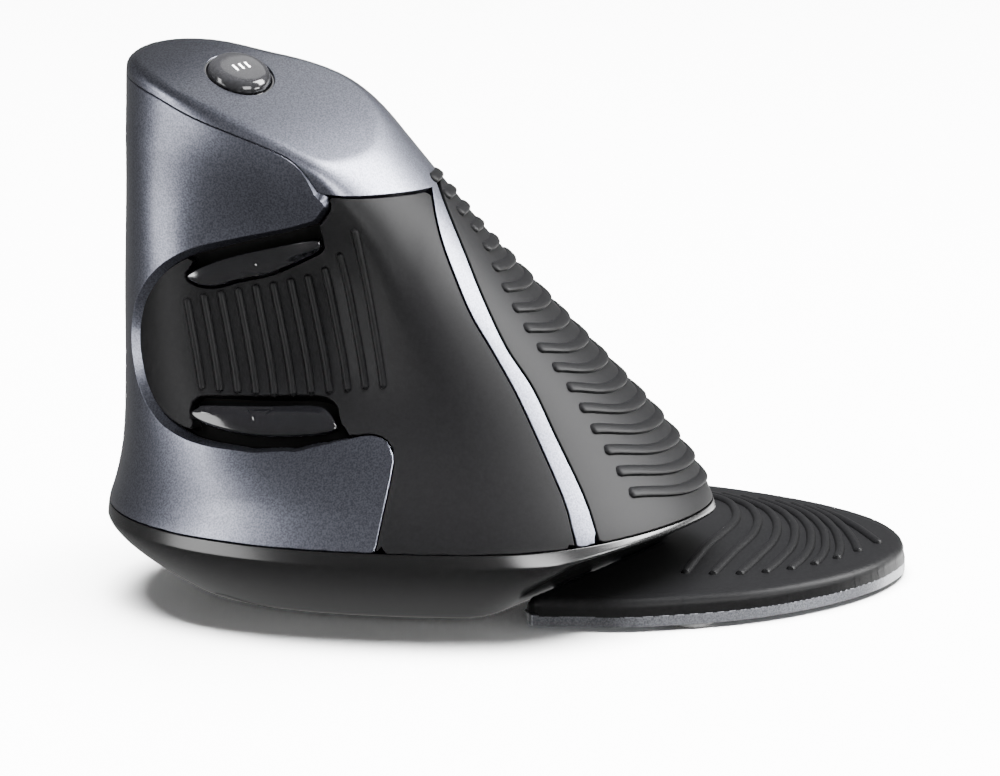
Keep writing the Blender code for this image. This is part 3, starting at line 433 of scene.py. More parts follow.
# ---- meshes ----
def icosphere(levels):
    """Unit icosphere as vertex and face arrays."""
    ball = bmesh.new()
    bmesh.ops.create_icosphere(ball, subdivisions=levels, radius=1.0)
    verts = np.array([v.co[:] for v in ball.verts])
    faces = np.array([[v.index for v in f.verts] for f in ball.faces])
    ball.free()
    return verts, faces


def split_quads(a, b, c, d):
    """Two triangles for each quad of four corner grids."""
    a, b, c, d = (q.ravel() for q in (a, b, c, d))
    return np.concatenate([np.column_stack([a, b, c]), np.column_stack([a, c, d])])


def tube_quads(rings):
    """Quads between closed rings of vertex numbers."""
    closed = np.concatenate([rings, rings[:, :1]], axis=1)
    return np.stack([closed[:-1, :-1], closed[:-1, 1:], closed[1:, 1:], closed[1:, :-1]],
                    axis=-1).reshape(-1, 4)


def flat_grid(low, high, step):
    """Triangulated rectangle as (u, v) vertex and face arrays."""
    nu, nv = (int(math.ceil((b - a) / step)) + 1 for a, b in zip(low, high))
    u, v = np.meshgrid(np.linspace(low[0], high[0], nu), np.linspace(low[1], high[1], nv))
    at = np.arange(nu * nv).reshape(nv, nu)
    return (np.column_stack([u.ravel(), v.ravel()]),
            split_quads(at[:-1, :-1], at[:-1, 1:], at[1:, 1:], at[1:, :-1]))


def renumber(count, used):
    """New number of each used vertex, -1 for the others."""
    order = np.full(count, -1)
    order[used] = np.arange(len(used))
    return order


def part_of(params, tris, keep):
    """The triangles that touch a kept vertex."""
    tris = tris[keep[tris].any(1)]
    used = np.unique(tris)
    return params[used], renumber(len(params), used)[tris]


def clip(params, tris, field):
    """Part of a mesh where the field is below 0, and its new boundary edges.

    New corners lie where the field crosses 0 on an edge. Boundary edges keep the
    direction of their triangle."""
    inside = field < 0
    count = inside[tris].sum(1)
    groups = []
    for odd_inside in (True, False):
        part = tris[count == (1 if odd_inside else 2)]
        odd = (inside[part] == odd_inside).argmax(1)
        groups.append(part[np.arange(len(part))[:, None], (odd[:, None] + np.arange(3)) % 3])
    cut = np.concatenate(groups)
    a = np.concatenate([cut[:, 0], cut[:, 0]])
    b = np.concatenate([cut[:, 1], cut[:, 2]])
    low, high = np.minimum(a, b), np.maximum(a, b)
    key = low.astype(np.int64) * len(params) + high
    _, first, where = np.unique(key, return_index=True, return_inverse=True)
    low, high = low[first], high[first]
    t = field[low] / (field[low] - field[high])
    extra = params[low] + (params[high] - params[low]) * t[:, None]
    new = len(params) + where.reshape(-1)
    ab, ac = new[:len(cut)], new[len(cut):]
    n = len(groups[0])
    kept = [tris[count == 3],
            np.column_stack([cut[:n, 0], ab[:n], ac[:n]]),
            np.column_stack([ab[n:], cut[n:, 1], cut[n:, 2]]),
            np.column_stack([ab[n:], cut[n:, 2], ac[n:]])]
    rim = np.concatenate([np.column_stack([ab[:n], ac[:n]]), np.column_stack([ac[n:], ab[n:]])])
    params, tris = np.concatenate([params, extra]), np.concatenate(kept)
    used = np.unique(tris)
    order = renumber(len(params), used)
    return params[used], order[tris], order[rim]


ROUNDED = [(math.sin(a), 1 - math.cos(a), a) for a in np.linspace(0, math.pi / 2, 5)[1:]]
BEVELLED = [(0.05, 0.015, 0.3), (0.1, 0.05, math.pi / 4), (0.88, 0.78, math.pi / 4),
            (0.96, 0.88, 1.1), (1.0, 1.0, math.pi / 2)]


def closed_sheet(points, normals, tris, rim, outward, radius, wall, profile, under=None):
    """Gives a sheet a shaped edge, a side wall and an inner face.

    outward points along the surface, away from the sheet; radius is the edge's size."""
    rim_verts = np.unique(rim)
    order = renumber(len(points), rim_verts)
    u, v = order[rim[:, 0]], order[rim[:, 1]]
    p, n, m = points[rim_verts], normals[rim_verts], outward[rim_verts]
    r = radius[rim_verts][:, None]
    inner = points - normals * wall if under is None else under(points)
    drop = inner[rim_verts] if under is not None else p - n * wall
    rings = [(p + m * r * out - n * r * down, m * math.sin(a) + n * math.cos(a))
             for out, down, a in profile]
    rings += [(rings[-1][0], m), (drop + m * r, m)]
    verts, norms, faces = [points], [normals], [tris]
    previous, base = rim_verts, len(points)
    for ring, norm in rings:
        current = base + np.arange(len(rim_verts))
        faces.append(split_quads(previous[v], previous[u], current[u], current[v]))
        verts.append(ring)
        norms.append(norm)
        previous, base = current, base + len(rim_verts)
    verts.append(inner)
    norms.append(-normals)
    faces.append(base + tris[:, ::-1])
    below = base + rim_verts
    faces.append(split_quads(previous[v], previous[u], below[u], below[v]))
    return np.concatenate(verts), np.concatenate(norms), np.concatenate(faces)


def make_mesh(name, verts, faces, normals=None, look=None):
    """Links a mesh given in body-frame millimetres."""
    mesh = bpy.data.meshes.new(name)
    local = ((verts + SHIFT) * MM).astype(np.float32)
    mesh.vertices.add(len(local))
    mesh.vertices.foreach_set("co", local.ravel())
    mesh.loops.add(faces.size)
    mesh.loops.foreach_set("vertex_index", faces.astype(np.int32).ravel())
    mesh.polygons.add(len(faces))
    sides = faces.shape[1]
    mesh.polygons.foreach_set("loop_start", np.arange(0, faces.size, sides, dtype=np.int32))
    mesh.polygons.foreach_set("use_smooth", np.ones(len(faces), bool))
    mesh.update(calc_edges=True)
    mesh.validate()
    if normals is None:
        mesh.set_sharp_from_angle(angle=math.radians(CREASE_ANGLE))
    elif len(mesh.polygons) == len(faces):
        mesh.normals_split_custom_set_from_vertices(unit(normals).astype(np.float32))
    made = bpy.data.objects.new(name, mesh)
    bpy.context.collection.objects.link(made)
    if look is not None:
        mesh.materials.append(look)
    return made


def add_piece(name, mesh_parts, look, body, replaced=()):
    """Makes a piece, rides it on a body and hides the CAD parts it stands for."""
    made = make_mesh(name, *mesh_parts, look=look)
    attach(made, body)
    if replaced:
        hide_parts(*replaced)


def corner_normals(points, tris):
    """Smooth normals of a fine mesh."""
    a, b, c = points[tris[:, 0]], points[tris[:, 1]], points[tris[:, 2]]
    face = np.cross(b - a, c - a)
    out = np.zeros_like(points)
    for k in range(3):
        np.add.at(out, tris[:, k], face)
    return unit(out)


def ridges(lines, width, height, sink=0.15, flatness=2.0, lean=0.0):
    """Raised bars that follow lines of (points, normals) on a surface.

    lean moves the crest to one side, which makes that side the steep one."""
    verts, faces, base = [], [], 0
    across = np.sin(np.linspace(-math.pi / 2, math.pi / 2, RIDGE_POINTS))
    from_crest = np.where(across < lean, (across - lean) / (1 + lean), (across - lean) / (1 - lean))
    bell = np.clip(1 - np.abs(from_crest) ** flatness, 0, 1) ** (1 / flatness)
    for points, normals in lines:
        tangent = unit(np.gradient(points, axis=0))
        side = unit(np.cross(normals, tangent))
        travelled = distance_along(points)
        near_end = np.minimum(travelled, travelled[-1] - travelled) / (width * 0.5)
        taper = np.sqrt(np.clip(1 - (1 - np.clip(near_end, 0, 1)) ** 2, 0.0025, 1))
        offset = side[:, None] * (across[:, None] * width / 2) * taper[:, None, None]
        rise = normals[:, None] * (bell[:, None] * (height + sink)) * taper[:, None, None]
        grid = points[:, None] + offset + rise - normals[:, None] * sink
        count = len(points) * RIDGE_POINTS
        faces.append(tube_quads(base + np.arange(count).reshape(-1, RIDGE_POINTS)))
        verts.append(grid.reshape(-1, 3))
        base += count
    return np.concatenate(verts), np.concatenate(faces)[:, ::-1]


def distance_along(points):
    """Distance travelled along a polyline at each of its points."""
    return np.concatenate([[0], np.cumsum(np.linalg.norm(np.diff(points, axis=0), axis=1))])


def along(points, count):
    """Evenly spaced points on a polyline."""
    points = np.array(points, float)
    travelled = distance_along(points)
    at = np.linspace(0, travelled[-1], count)
    return np.column_stack([np.interp(at, travelled, points[:, k])
                            for k in range(points.shape[1])])


def lathe(profile, at, axis):
    """Surface of revolution from (radius, height) points, as quads."""
    turn = Vector((0, 0, 1)).rotation_difference(Vector(axis).normalized()).to_matrix()
    turn = np.array(turn)
    a = np.arange(LATHE_SIDES) * 2 * math.pi / LATHE_SIDES
    radius, height = np.array(profile, float).T
    ring = np.stack([radius[:, None] * np.cos(a), radius[:, None] * np.sin(a),
                     np.repeat(height[:, None], LATHE_SIDES, axis=1)], axis=-1)
    verts = ring.reshape(-1, 3) @ turn.T + np.array(at)
    return verts, tube_quads(np.arange(len(verts)).reshape(-1, LATHE_SIDES))


# ---- materials ----
def new_look(name, **values):
    """New node material, its Principled shader with sockets set by name, and its node tree."""
    made = bpy.data.materials.new(name)
    made.use_nodes = True
    shader = made.node_tree.nodes["Principled BSDF"]
    for key, value in values.items():
        shader.inputs[key.replace("_", " ")].default_value = value
    return made, shader, made.node_tree


def add_node(tree, kind, **values):
    """New node with its inputs set by name."""
    made = tree.nodes.new(kind)
    for key, value in values.items():
        made.inputs[key].default_value = value
    return made


def grain(tree, scale, detail=2.0):
    """Noise in the object's own coordinates."""
    place = add_node(tree, "ShaderNodeTexCoord")
    noise = add_node(tree, "ShaderNodeTexNoise", Scale=scale, Detail=detail)
    tree.links.new(place.outputs["Object"], noise.inputs["Vector"])
    return noise


def add_bump(tree, shader, height, strength, distance):
    """Bump from a height output."""
    made = add_node(tree, "ShaderNodeBump", Strength=strength, Distance=distance)
    tree.links.new(height, made.inputs["Height"])
    tree.links.new(made.outputs["Normal"], shader.inputs["Normal"])


def add_ramp(tree, factor, dark, light, span, colour):
    """Feeds a colour socket from dark to light as the factor goes over the span."""
    ramp = tree.nodes.new("ShaderNodeValToRGB")
    low, high = ramp.color_ramp.elements
    low.color, high.color = (*dark, 1), (*light, 1)
    low.position, high.position = span
    tree.links.new(factor, ramp.inputs["Fac"])
    tree.links.new(ramp.outputs["Color"], colour)


def add_tint(tree, shader, factor, dark, light, span=(0.3, 0.7)):
    """Base colour between two colours."""
    add_ramp(tree, factor, dark, light, span, shader.inputs["Base Color"])


def metallic_paint(name, dark, light, roughness):
    """Metallic paint with fine flakes under a thin clear coat."""
    made, shader, tree = new_look(name, Metallic=1.0, Roughness=roughness, Coat_Weight=0.15,
                                  Coat_Roughness=0.2)
    flakes = grain(tree, 4200.0, 1.0)
    add_tint(tree, shader, flakes.outputs["Fac"], dark, light, (0.35, 0.65))
    add_bump(tree, shader, flakes.outputs["Fac"], 0.3, 0.00004)
    return made


def plastic(name, colour, roughness, grain_size=2500.0, relief=0.12, specular=0.5):
    """Moulded plastic or rubber with a fine spark-eroded grain."""
    made, shader, tree = new_look(name, Roughness=roughness, Specular_IOR_Level=specular)
    noise = grain(tree, grain_size, 3.0)
    add_tint(tree, shader, noise.outputs["Fac"], tuple(c * 0.82 for c in colour),
             tuple(c * 1.15 for c in colour))
    if relief:
        add_bump(tree, shader, noise.outputs["Fac"], relief, 0.00005)
    return made


def metal(name, colour, roughness):
    """Bare metal with fine scratches."""
    made, shader, tree = new_look(name, Metallic=1.0, Roughness=roughness)
    noise = grain(tree, 1800.0, 4.0)
    add_tint(tree, shader, noise.outputs["Fac"], tuple(c * 0.85 for c in colour), colour)
    add_bump(tree, shader, noise.outputs["Fac"], 0.08, 0.00003)
    return made


def clear(name, colour):
    """Clear moulded lens."""
    made, shader, tree = new_look(name, Roughness=0.05, Transmission_Weight=0.9)
    noise = grain(tree, 300.0)
    add_tint(tree, shader, noise.outputs["Fac"], tuple(c * 0.92 for c in colour), colour)
    return made


# ---- sheets of the body ----
class Sheet:
    """A triangulated sheet, with how its parameters are placed in space."""

    def __init__(self, params, tris, place, normals):
        self.params = params
        self.tris = tris
        self.place = place
        self.normals = normals
        self.points = place(params)


def body_sheet():
    """The whole body's surface."""
    sphere, tris = icosphere(7)
    return Sheet(unit(sphere * CAST_SCALE), tris, cast_from_centre, normals_of(body_field))


def base_sheet():
    """The base as level rings round BASE_AXIS; below BASE_RING_Z they close over its floor."""
    turns = np.linspace(0, 2 * math.pi, 720, endpoint=False)
    steps = np.concatenate([np.linspace(-0.98, -0.02, 30), np.linspace(0, 1, 50)])
    turn, step = (q.ravel() for q in np.meshgrid(turns, steps))
    grid = np.arange(len(turn)).reshape(len(steps), len(turns))
    ahead = np.roll(grid, -1, axis=1)
    tris = split_quads(grid[:-1], ahead[:-1], ahead[1:], grid[1:])

    def place(params):
        ray = np.column_stack([params[:, :2], np.zeros(len(params))])
        up = np.clip(params[:, 2], 0, 1)
        z = BASE_RING_Z + (BASE_RING_TOP - BASE_RING_Z) * up
        axis = np.tile(BASE_AXIS, (len(params), 1))
        wall = cast(np.column_stack([axis, z]), ray, body_field)
        shrink = 1 + np.clip(params[:, 2:], -1, 0)
        start = np.column_stack([axis + (wall[:, :2] - axis) * shrink, np.full(len(z), 6.0)])
        floor = cast(start, np.tile((0.0, 0.0, -1.0), (len(z), 1)), body_field)
        return np.where(params[:, 2:] < 0, floor, wall)

    params = np.column_stack([np.cos(turn), np.sin(turn), step])
    return Sheet(params, tris, place, normals_of(body_field))


def on_surface(field, points, normals):
    """A field near its edge in millimetres measured along the surface."""
    value = field(points)
    near = np.abs(value) < 4
    slope = gradient(field, points[near])
    n = normals[near]
    flat = slope - n * (slope * n).sum(1)[:, None]
    size = np.clip(np.linalg.norm(flat, axis=1), 0.3, 1.0)
    value[near] /= size
    return value


def cut_sheet(sheet, field, radius=EDGE_RADIUS, wall=WALL, profile=ROUNDED, under=None):
    """Closed mesh of the part of a sheet where field is below 0."""
    reach = 3.0
    params, tris = part_of(sheet.params, sheet.tris, field(sheet.points) < reach)
    points = sheet.place(params)
    normals = sheet.normals(points, tris)
    size = radius if callable(radius) else lambda p: np.full(len(p), radius)
    level = on_surface(field, points, normals) + size(points)
    params, tris, rim = clip(params, tris, level)
    points = sheet.place(params)
    normals = sheet.normals(points, tris)
    slope = gradient(field, points)
    outward = unit(slope - normals * (slope * normals).sum(1)[:, None])
    verts, norms, faces = closed_sheet(points, normals, tris, rim, outward, size(points), wall,
                                       profile, under)
    return verts, faces, norms


def outline_field(outline):
    """Field of a side-view outline."""
    return lambda p: polygon_distance(p[:, 1:3], outline)


def above_seam(p):
    """Below 0 over the parting line."""
    return PARTING_Z + SEAM / 2 - p[:, 2]


def below_seam(p):
    """Below 0 under the parting line."""
    return p[:, 2] - PARTING_Z + SEAM / 2


def finger_side(p):
    """Below 0 on the finger side."""
    return SIDE_SPLIT_X + SEAM - p[:, 0]


def thumb_side(p):
    """Below 0 on the thumb side."""
    return p[:, 0] - SIDE_SPLIT_X


def all_of(*fields):
    """Inside every field."""
    return lambda p: np.maximum.reduce([f(p) for f in fields])


def outside(field, gap=0.0):
    """Outside a field, by a gap."""
    return lambda p: gap - field(p)


ROOF = outline_field(roof_outline())
THUMB = outline_field(thumb_outline())
ARCH = outline_field(behind_arch())
GRIP = outline_field(grip_outline())
UPPER_THUMB = outline_field(closed_spline(UPPER_THUMB_KEY))
LOWER_THUMB = outline_field(closed_spline(LOWER_THUMB_KEY))


def thumb_field(p):
    """The body, sunk inside the arch for the thumb panel."""
    y, z = p[..., 1], p[..., 2]
    depth = THUMB_RECESS * ease(13.0, 23.0, y) * (1 - ease(50.0, 56.0, z)) * ease(15.0, 25.0, z)
    return body_field(p) + depth


def upper_hole(p):
    """Hole of the upper thumb key, open to the arch above it."""
    under_arch = ease(-2.4, -1.4, THUMB(p)) * (1 - ease(39.8, 41.2, p[:, 1]))
    return UPPER_THUMB(p) - THUMB_HOLE_GAP - 2.0 * under_arch * ease(22.3, 23.5, p[:, 1])


def lower_hole(p):
    """Hole of the lower thumb key, open to the arch below it and wider above it."""
    over_arch = ease(-2.0, -1.0, THUMB(p)) * (1 - ease(39.2, 40.6, p[:, 1]))
    above = 0.65 * ease(28.4, 29.6, p[:, 2])
    opened = 1.8 * over_arch * (1 - ease(26.0, 28.5, p[:, 2]))
    return LOWER_THUMB(p) - THUMB_HOLE_GAP - above - opened


def cast_thumb(yz):
    """Points of the sunk thumb panel at (y, z)."""
    return cast_sideways(yz, thumb_field)


def round_key_field(p):
    """Distance from the round key's axis, less its hole."""
    axis = np.array(ROUND_KEY_AXIS)
    q = p - np.array(ROUND_KEY_AT)
    height = q @ axis
    away = np.linalg.norm(q - height[:, None] * axis, axis=1) - ROUND_KEY_RADIUS - 0.4
    return np.maximum(away, np.abs(height) - 8)


def finger_opening(p):
    """The finger side behind the nose, above the lower key's foot."""
    ahead = p[:, 1] - KEY_FRONT_Y - BUTTON_GAP
    under = np.where(p[:, 1] < KEY_REAR_Y - BUTTON_GAP, -5.0, LOWER_KEY_Z - BUTTON_GAP - p[:, 2])
    return np.maximum.reduce([ahead, under, SIDE_SPLIT_X - p[:, 0]])


def front_edge(p):
    """Edge size of the front shell: a bevel along the arch, fine elsewhere."""
    at_arch = 1 - ease(0.5, 3.0, np.abs(ARCH(p)))
    bevel = at_arch * ease(16.0, 25.0, p[:, 1]) * (1 - ease(0.0, 2.0, p[:, 0]))
    return ROOF_EDGE_RADIUS + (ARCH_BEVEL - ROOF_EDGE_RADIUS) * bevel


def bezel_field(p):
    """Wheel frame with its slot."""
    frame_box = box_distance(p[:, 1:], (KEY_REAR_Y, BEZEL_Z[0]),
                             (KEY_FRONT_Y, BEZEL_Z[1]))
    half = WHEEL_WIDTH / 2 + 0.5
    slot = box_distance(p[:, 1:], (WHEEL_AT[1] - 12.2, WHEEL_AT[2] - half),
                        (WHEEL_AT[1] + 12.2, WHEEL_AT[2] + half), 2.0)
    return np.maximum.reduce([frame_box, -slot, finger_side(p)])


def lower_key_field(p):
    """Lower finger key."""
    return np.maximum(box_distance(p[:, 1:], (KEY_REAR_Y, LOWER_KEY_Z),
                                   (KEY_FRONT_Y, BEZEL_Z[0] - BUTTON_GAP)), finger_side(p))


def door_field(p):
    """Battery door in the base."""
    return np.maximum(box_distance(p[:, :2], (DOOR_X[0], DOOR_Y[0]),
                                   (DOOR_X[1], DOOR_Y[1]), DOOR_CORNER), p[:, 2] - DOOR_TOP)


def base_field(p):
    """Base below the parting line, with its openings."""
    holes = [box_distance(p[:, :2], low, high, r) for low, high, r in BASE_WINDOWS]
    holes += [np.hypot(p[:, 0] - x, p[:, 1] - y) - SCREW_HOLE_RADIUS for x, y in SCREWS_AT]
    hole = np.maximum(np.minimum.reduce(holes), p[:, 2] - 6.0)
    return np.maximum.reduce([below_seam(p), SEAM - door_field(p), -hole])


def build_shells():
    """Every outer panel."""
    body = body_sheet()
    thumb_sheet = Sheet(body.params, body.tris, lambda rays: cast_from_centre(rays, thumb_field),
                        normals_of(thumb_field))

    def add(name, node, owner, look, slot, field, sheet=body, **shape):
        add_piece(name, cut_sheet(sheet, field, **shape), look, owner, (node,))

    not_arch = outside(all_of(ARCH, thumb_side), SEAM)
    roof = all_of(ROOF, above_seam, outside(round_key_field))
    add("roof_skin", "roof_shell", "mouse", PAINT, "silver_paint", roof,
        radius=ROOF_EDGE_RADIUS)
    front = all_of(above_seam, outside(ROOF, ROOF_SEAM), not_arch, outside(finger_opening))
    add("front_skin", "front_shell", "mouse", PAINT, "silver_paint", front, radius=front_edge,
        profile=BEVELLED)
    panel = all_of(THUMB, above_seam, thumb_side, outside(upper_hole), outside(lower_hole))
    add("thumb_skin", "thumb_panel", "mouse", SATIN, "thumb_black", panel, sheet=thumb_sheet,
        radius=0.16, wall=WELL_DEPTH)
    add("back_skin", "back_grip", "mouse", RUBBER_LOOK, "grip_rubber",
        all_of(GRIP, above_seam))
    palm_side = outline_field(palm_side_outline())
    add("palm_side_skin", "palm_side_grip", "mouse", RUBBER_LOOK, "grip_rubber",
        all_of(palm_side, above_seam, finger_side))
    add("bezel_skin", "wheel_bezel", "mouse", GLOSS, "gloss_black", bezel_field, radius=0.25)
    upper_key = outline_field(upper_key_outline())
    add("upper_key_skin", "upper_finger_key", "upper_finger_key", PAINT, "silver_paint",
        all_of(upper_key, finger_side), radius=FINGER_KEY_EDGE)
    add("lower_key_skin", "lower_finger_key", "lower_finger_key", PAINT, "silver_paint",
        lower_key_field, radius=FINGER_KEY_EDGE)
    hull = base_sheet()
    add("door_skin", "battery_door", "battery_door", BASE_LOOK, "gloss_black", door_field,
        sheet=hull)
    add("base_skin", "base_shell", "mouse", BASE_LOOK, "gloss_black", base_field, sheet=hull)


def around_key(outline, margin, step):
    """Field of a thumb key's outline, and a grid round it."""
    edge = closed_spline(outline)
    params, tris = flat_grid(np.min(edge, axis=0) - margin, np.max(edge, axis=0) + margin, step)
    return outline_field(edge), params, tris[:, ::-1]


def build_thumb_keys():
    """Two glossy keys over and under the thumb hollow, each with an engraved arrow."""
    for name, node, _, outline in THUMB_KEYS:
        field, params, tris = around_key(outline, 0.5, THUMB_KEY_STEP)

        def place(yz, field=field, name=name):
            p = cast_thumb(yz)
            at_edge, more = THUMB_KEY_RISE
            rise = at_edge + more * ease(-0.6, 2.0, -field(p)) - key_mark(name, yz)
            return p + unit(gradient(thumb_field, p)) * rise[:, None]

        def edge_size(p):
            return 0.3 + 0.7 * (1 - ease(26.0, 28.2, p[:, 2]))

        cap = cut_sheet(Sheet(params, tris, place, corner_normals), field, radius=edge_size,
                        wall=THUMB_KEY_WALL)
        add_piece(name, cap, KEY_LOOK, node, (node,))


def build_key_wells():
    """Near-black floor behind each thumb key's gap: painted shade standing in for the shadow in the
    recess.
    """
    def place(yz):
        p = cast_thumb(yz)
        return p - unit(gradient(thumb_field, p)) * WELL_DEPTH

    for _, _, name, outline in THUMB_KEYS:
        field, params, tris = around_key(outline, 4.0, WELL_STEP)
        sheet = Sheet(params, tris, place, corner_normals)

        def around(p, field=field):
            return field(p) - WELL_MARGIN

        floor = cut_sheet(sheet, around, radius=0.2, wall=0.5)
        add_piece(name, floor, WELL_SHADE_LOOK, "mouse")


def key_mark(name, yz):
    """Depth of the arrow engraved in a thumb key."""
    return ARROW_DEPTH * (1 - ease(0.02, 0.2, np.abs(polygon_distance(yz, KEY_ARROWS[name]))))


def build_thumb_ribs():
    """Upright ribs for the thumb."""
    count = len(THUMB_RIB_TOPS_Z)
    tops = zip(np.linspace(*THUMB_RIB_TOPS_Y, count), THUMB_RIB_TOPS_Z)
    feet = zip(np.linspace(*THUMB_RIB_FEET_Y, count), THUMB_RIB_FEET_Z)
    lines = []
    for top, foot in zip(tops, feet):
        points = cast_thumb(along([top, foot], 50))
        lines.append((points, unit(gradient(thumb_field, points))))
    add_piece("thumb_ribs", ridges(lines, *THUMB_RIB_SIZE), SATIN, "mouse")


def back_rib(z, drop):
    """Points of one rib that starts at height z and sinks by drop at the rear."""
    rear_of_strip = [(height, y) for y, height in STRIP_REAR]
    start_y = float(curve(rear_of_strip, np.array([z]))[0])
    start_y -= 1.0 + 0.1 * (BACK_RIB_Z[0] - z)
    sweep = np.radians(np.linspace(*BACK_RIB_SWEEP, 900))
    rays = np.column_stack([np.cos(sweep), np.sin(sweep), np.zeros(len(sweep))])
    sunk = np.zeros(len(sweep))
    for _ in range(2):
        start = np.column_stack([np.tile(BACK_RIB_CENTRE, (len(sweep), 1)), z - sunk])
        points = cast(start, rays, body_field)
        rear_y = points[:, 1].min()
        sunk = drop * ease(start_y, rear_y, points[:, 1])
    start_y = max(start_y, rear_y + BACK_RIB_REACH)
    return along(points[points[:, 1] < start_y], 110)


def build_back_ribs():
    """Ribs that wrap round the back; the long low ones sag towards its middle."""
    t = np.linspace(0, 1, BACK_RIBS)
    t = t * (1 - BACK_RIB_SPREAD) + t ** 2 * BACK_RIB_SPREAD
    heights = BACK_RIB_Z[0] + (BACK_RIB_Z[1] - BACK_RIB_Z[0]) * t
    lines = []
    for z, drop in zip(heights, BACK_RIB_DROP * ease(0.12, 0.8, t)):
        points = back_rib(z, drop)
        lines.append((points, unit(gradient(body_field, points))))
    add_piece("back_ribs", ridges(lines, *BACK_RIB_SIZE, lean=BACK_RIB_LEAN), RUBBER_LOOK,
              "mouse")


def palm_field(p):
    """Inside the palm rest's rim and clear of the base at the cover's underside."""
    low = np.column_stack([p[:, :2], np.full(len(p), PALM_COVER_Z + 0.3)])
    return np.maximum(polygon_distance(p[:, :2], PALM_OUTLINE), PALM_GAP - body_field(low))


def palm_top(xy):
    """Top of the palm rest's cover at (x, y)."""
    inset = np.maximum(-polygon_distance(xy, PALM_RIM_LINE), 0)
    width, rise = PALM_SLOPE
    slope = rise * (1 - np.clip(1 - inset / width, 0, 1) ** 1.5)
    return PALM_SHOULDER_Z + slope + PALM_CROWN * ease(width, PALM_CROWN_WIDTH, inset)


PALM_OUTLINE = spline(PALM_RIM, 6) + PALM_END
PALM_RIM_LINE = spline(PALM_RIM, 6) + [(10.0, 30.0), (-13.4, 30.0)]


def cover_points(xy):
    """Points of the cover's top at (x, y), lowered where the base would touch it."""
    def gap(z):
        return body_field(np.column_stack([xy, z]))

    top = palm_top(xy)
    low = bisect(np.full(len(xy), PALM_COVER_Z + 0.1), top, lambda z: gap(z) < PALM_GAP, 16)
    return np.column_stack([xy, np.where(gap(top) > PALM_GAP, top, low)])


def palm_rib_lines():
    """Lines of the cover's ribs, from the guides, with the cover's normals."""
    first, middle, last = (np.array(g) for g in PALM_RIB_GUIDES)
    step = 0.05
    lines = []
    for t in np.linspace(0, 1, PALM_RIBS):
        path = (first * (2 * t - 1) * (t - 1) + middle * 4 * t * (1 - t)
                + last * t * (2 * t - 1))
        xy = along(spline(path, 8), 120)
        points = cover_points(xy)
        rise_x = (palm_top(xy + (step, 0)) - points[:, 2]) / step
        rise_y = (palm_top(xy + (0, step)) - points[:, 2]) / step
        lines.append((points, unit(np.column_stack([-rise_x, -rise_y, np.ones(len(xy))]))))
    return lines


def at_level(z):
    """A function that moves (x, y) or (x, y, z) points to one height."""
    return lambda p: np.column_stack([p[:, :2], np.full(len(p), z)])


def build_palm_rest():
    """Metallic band, rubber cover and its ribs."""
    params, tris = flat_grid(*PALM_SHEET)
    bottom, top = PALM_BAND_Z
    band = cut_sheet(Sheet(params, tris, at_level(top), corner_normals), palm_field,
                     radius=0.2, under=at_level(bottom))
    add_piece("palm_band_skin", band, BAND, "palm_rest", ("palm_rest_band",))
    cover = cut_sheet(Sheet(params, tris, cover_points, corner_normals), palm_field,
                      radius=1.1, under=at_level(PALM_COVER_Z))
    add_piece("palm_cover_skin", cover, RUBBER_LOOK, "palm_rest",
              ("palm_rest_cover",))
    add_piece("palm_ribs", ridges(palm_rib_lines(), *PALM_RIB_SIZE), RUBBER_LOOK, "palm_rest")


def key_mark_bars():
    """Lines of the three bars on the round key."""
    axis = np.array(ROUND_KEY_AXIS)
    spread = np.array((0.75, -0.62, 0.0))
    spread = spread - axis * (spread @ axis)
    spread /= np.linalg.norm(spread)
    half = np.cross(axis, spread) * 0.75
    top = np.array(ROUND_KEY_AT) + axis * 1.2
    bars = [along([top + spread * k - half, top + spread * k + half], 12) for k in (-1, 0, 1)]
    return [(bar, np.repeat(axis[None], len(bar), axis=0)) for bar in bars]


def build_round_key():
    """Glossy round key in a dark ring, with a plain three-bar mark."""
    r = ROUND_KEY_RADIUS
    cap = [(0.0, 1.25), (1.5, 1.24), (2.8, 1.2), (3.35, 1.14), (3.6, 1.02), (3.85, 0.82),
           (4.1, 0.5), (4.25, 0.2), (r - 0.02, -0.2), (r, -0.8), (r, -3.0), (0.0, -3.0)]
    add_piece("round_key_cap", lathe(cap, ROUND_KEY_AT, ROUND_KEY_AXIS), CAP_LOOK,
              "round_top_key", ("round_top_key",))
    ring = [(r + 0.12, -2.2), (r + 0.12, -0.35), (r + 0.2, -0.28), (r + 0.62, -0.28),
            (r + 0.7, -0.35), (r + 0.7, -2.2), (r + 0.12, -2.2)]
    add_piece("round_key_ring", lathe(ring, ROUND_KEY_AT, ROUND_KEY_AXIS), GLOSS, "mouse")
    mark = ridges(key_mark_bars(), 0.34, 0.07, sink=0.02, flatness=6.0)
    add_piece("round_key_mark", mark, WHITE_INK, "round_top_key")


def dress_inner_parts():
    """Gives every carried-over CAD node its own material."""
    for look, nodes in INNER_LOOKS:
        for node in nodes:
            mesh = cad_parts[node].data
            mesh.materials.clear()
            mesh.materials.append(look)


